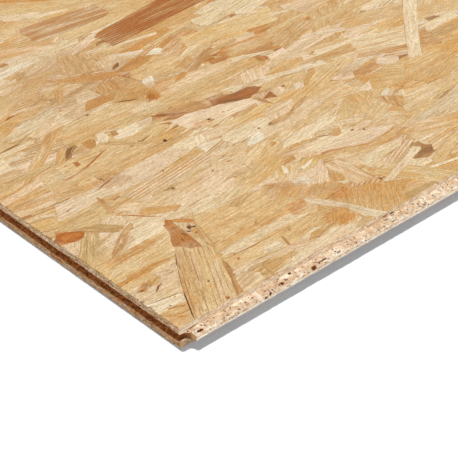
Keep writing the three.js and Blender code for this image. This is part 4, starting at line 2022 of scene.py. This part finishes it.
    def grooved(self, n: Nodes, spot: Socket, fluff: Socket) -> Socket:
        """Paints shade into the groove as a darker, browner colour, darkest at its open end and paler
        where it runs through the tongue.

        Args:
            n: the material's nodes.
            spot: places from the near corner in millimetres.
            fluff: the coarse roughness of torn fibres.

        Returns:
            The groove's colour.
        """
        y = n.axes(spot)[1]
        # Painted shade: a mottled dark brown, darker still towards the open end.
        colour = n.mix(n.ramp(fluff, 0.42, 0.6), linear(self.groove), linear(self.groove_shade))
        colour = n.paint(n.times(n.ramp(y, 7.0, 1.0), 0.8), colour, self.open_end_shade)
        through = n.times(n.ramp(y, -1.2, -3.6), n.ramp(fluff, 0.4, 0.6, 1.0, 0.55))
        return n.paint(through, colour, self.tongue_end)

    def shade_holes(self, n: Nodes, spot: Socket, colour: Socket) -> Socket:
        """Paints shade into the torn holes, as dark brown patches.

        Args:
            n: the material's nodes.
            spot: places from the near corner in millimetres.
            colour: the colour around the holes.

        Returns:
            The colour with shade painted in the holes.
        """
        ragged = n.bent(spot, spot, 0.6, self.ragged, 3.0)
        for hole in HOLES:
            middle = tuple(
                place + reach / 2 for place, reach in zip((hole.x, hole.y, hole.z), self.ragged))
            ball = n.ball(ragged, middle, (hole.long, hole.wide, hole.wide))
            colour = n.paint(n.ramp(ball, 0.06, 0.3), colour, self.hole)
        return colour


@dataclass(frozen=True)
class Studio:
    """A white floor under plain light, and the camera that looks down on the near corner."""

    focal: float = 1500.13
    yaw: float = -2.3113
    pitch: float = 0.6074
    roll: float = -0.0045
    aim: Point = (123.20, 83.28)
    distance: float = 1153.70
    frame_width: float = 458.0
    shift: Point = (-0.25, 0.3)
    key: float = 2.54
    key_spread: float = 4.0
    side: float = 1.0
    side_spread: float = 8.0
    fill: float = 0.2
    lean: Point3 = (-0.12, 0.3, -1.0)
    floor_lean: Point3 = (-0.04, -0.25, -1.0)
    side_lean: Point3 = (0.62, 1.0, -0.13)
    floor_colour: Colour = (0.8, 0.8, 0.8)
    floor_glow: Colour = (0.053, 0.096, 0.137)
    floor_size: float = 30.0
    white: Colour = (1.0, 1.0, 1.0)

    def build(self, corner: Vector) -> None:
        """Sets up floor, light and camera.

        Args:
            corner: the board's near corner on the floor, in metres.
        """
        self.light(self.floor())
        self.camera(corner)
        bpy.context.scene.view_settings.view_transform = "Standard"

    def floor(self) -> bpy.types.Object:
        """Lays the floor, which looks white to the camera and keeps the board's shadow.

        Returns:
            The floor.
        """
        n = Nodes(bpy.data.materials.new("white_floor"))
        seen = n.seen()
        n.feed(n.shader.inputs["Base Color"], n.mix(seen, self.floor_colour, self.white))
        n.shader.inputs["Roughness"].default_value = 0.9
        n.shader.inputs["Specular IOR Level"].default_value = 0.0
        n.feed(n.shader.inputs["Emission Color"], self.floor_glow)
        n.feed(n.shader.inputs["Emission Strength"], seen)
        shape = bmesh.new()
        bmesh.ops.create_grid(shape, x_segments=2, y_segments=2, size=self.floor_size / 2)
        mesh = bpy.data.meshes.new("studio_floor")
        shape.to_mesh(mesh)
        shape.free()
        mesh.materials.append(n.owner)
        floor = bpy.data.objects.new("studio_floor", mesh)
        bpy.context.scene.collection.objects.link(floor)
        return floor

    def light(self, floor: bpy.types.Object) -> None:
        """Hangs the key light nearly overhead, a soft light beside the tongue, and an even sky.

        The floor has a key light of its own, which leans the other way.

        Args:
            floor: the studio's floor.
        """
        self.keep_to(floor, self.sun("key", self.key, self.lean, self.key_spread), "EXCLUDE")
        overhead = self.sun("floor_key", self.key, self.floor_lean, self.key_spread)
        self.keep_to(floor, overhead, "INCLUDE")
        self.sun("side", self.side, self.side_lean, self.side_spread)
        sky = Nodes(bpy.data.worlds.new("studio"))
        bpy.context.scene.world = sky.owner
        strength = sky.add("MapRange", {0: sky.seen(), 3: self.fill, 4: 1.0}).outputs[0]
        sky.feed(sky.shader.inputs["Strength"], strength)
        sky.feed(sky.shader.inputs["Color"], self.white)

    @staticmethod
    def keep_to(floor: bpy.types.Object, light: bpy.types.Object, state: str) -> None:
        """Makes a light fall on the floor alone, or on everything else.

        Args:
            floor: the studio's floor.
            light: the light.
            state: INCLUDE for the floor alone, or EXCLUDE for everything else.
        """
        group = bpy.data.collections.new(light.name + "_falls_on")
        group.objects.link(floor)
        light.light_linking.receiver_collection = group
        group.collection_objects[0].light_linking.link_state = state

    @staticmethod
    def sun(name: str, energy: float, lean: Point3, spread: float) -> bpy.types.Object:
        """Adds a distant light.

        Args:
            name: the light's name.
            energy: its strength.
            lean: the way its rays go.
            spread: how wide it looks from the board, in degrees.

        Returns:
            The light.
        """
        lamp = bpy.data.lights.new(name, "SUN")
        lamp.energy = energy
        lamp.angle = math.radians(spread)
        light = bpy.data.objects.new(name, lamp)
        light.rotation_euler = Vector(lean).to_track_quat("-Z", "Y").to_euler()
        bpy.context.scene.collection.objects.link(light)
        return light

    def camera(self, corner: Vector) -> None:
        """Places the camera, which is measured from the board's near corner.

        Args:
            corner: the board's near corner on the floor, in metres.
        """
        flat = math.cos(self.pitch)
        toward = Vector((flat * math.cos(self.yaw), flat * math.sin(self.yaw), math.sin(self.pitch)))
        aim = corner + Vector((self.aim[0], self.aim[1], 0)) * MM
        ahead = -toward
        right = ahead.cross(Vector((0, 0, 1))).normalized()
        up = right.cross(ahead)
        turn = (math.cos(self.roll), math.sin(self.roll))
        rolled = right * turn[0] + up * turn[1]
        upright = up * turn[0] - right * turn[1]
        lens = bpy.data.cameras.new("camera")
        lens.sensor_fit = "HORIZONTAL"
        lens.sensor_width = 36.0
        lens.lens = lens.sensor_width * self.focal / self.frame_width
        lens.clip_start, lens.clip_end = 0.05, 100.0
        lens.shift_x, lens.shift_y = (pixels / self.frame_width for pixels in self.shift)
        camera = bpy.data.objects.new("camera", lens)
        axes = Matrix((rolled, upright, toward)).transposed().to_4x4()
        axes.translation = aim + toward * self.distance * MM
        camera.matrix_world = axes
        bpy.context.scene.collection.objects.link(camera)
        bpy.context.scene.camera = camera


def main() -> None:
    """Builds the board, the floor, the lights and the camera, and reports each piece."""
    logging.basicConfig(level=logging.INFO, format="%(message)s")
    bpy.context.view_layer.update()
    board = Board()
    finishes = [finish(board.corner).build() for finish in (StrandFinish, EdgeFinish)]
    for piece in board.build(finishes):
        log.info("piece %s", piece.name)
    Studio().build(board.corner)


if __name__ == "__main__":
    main()
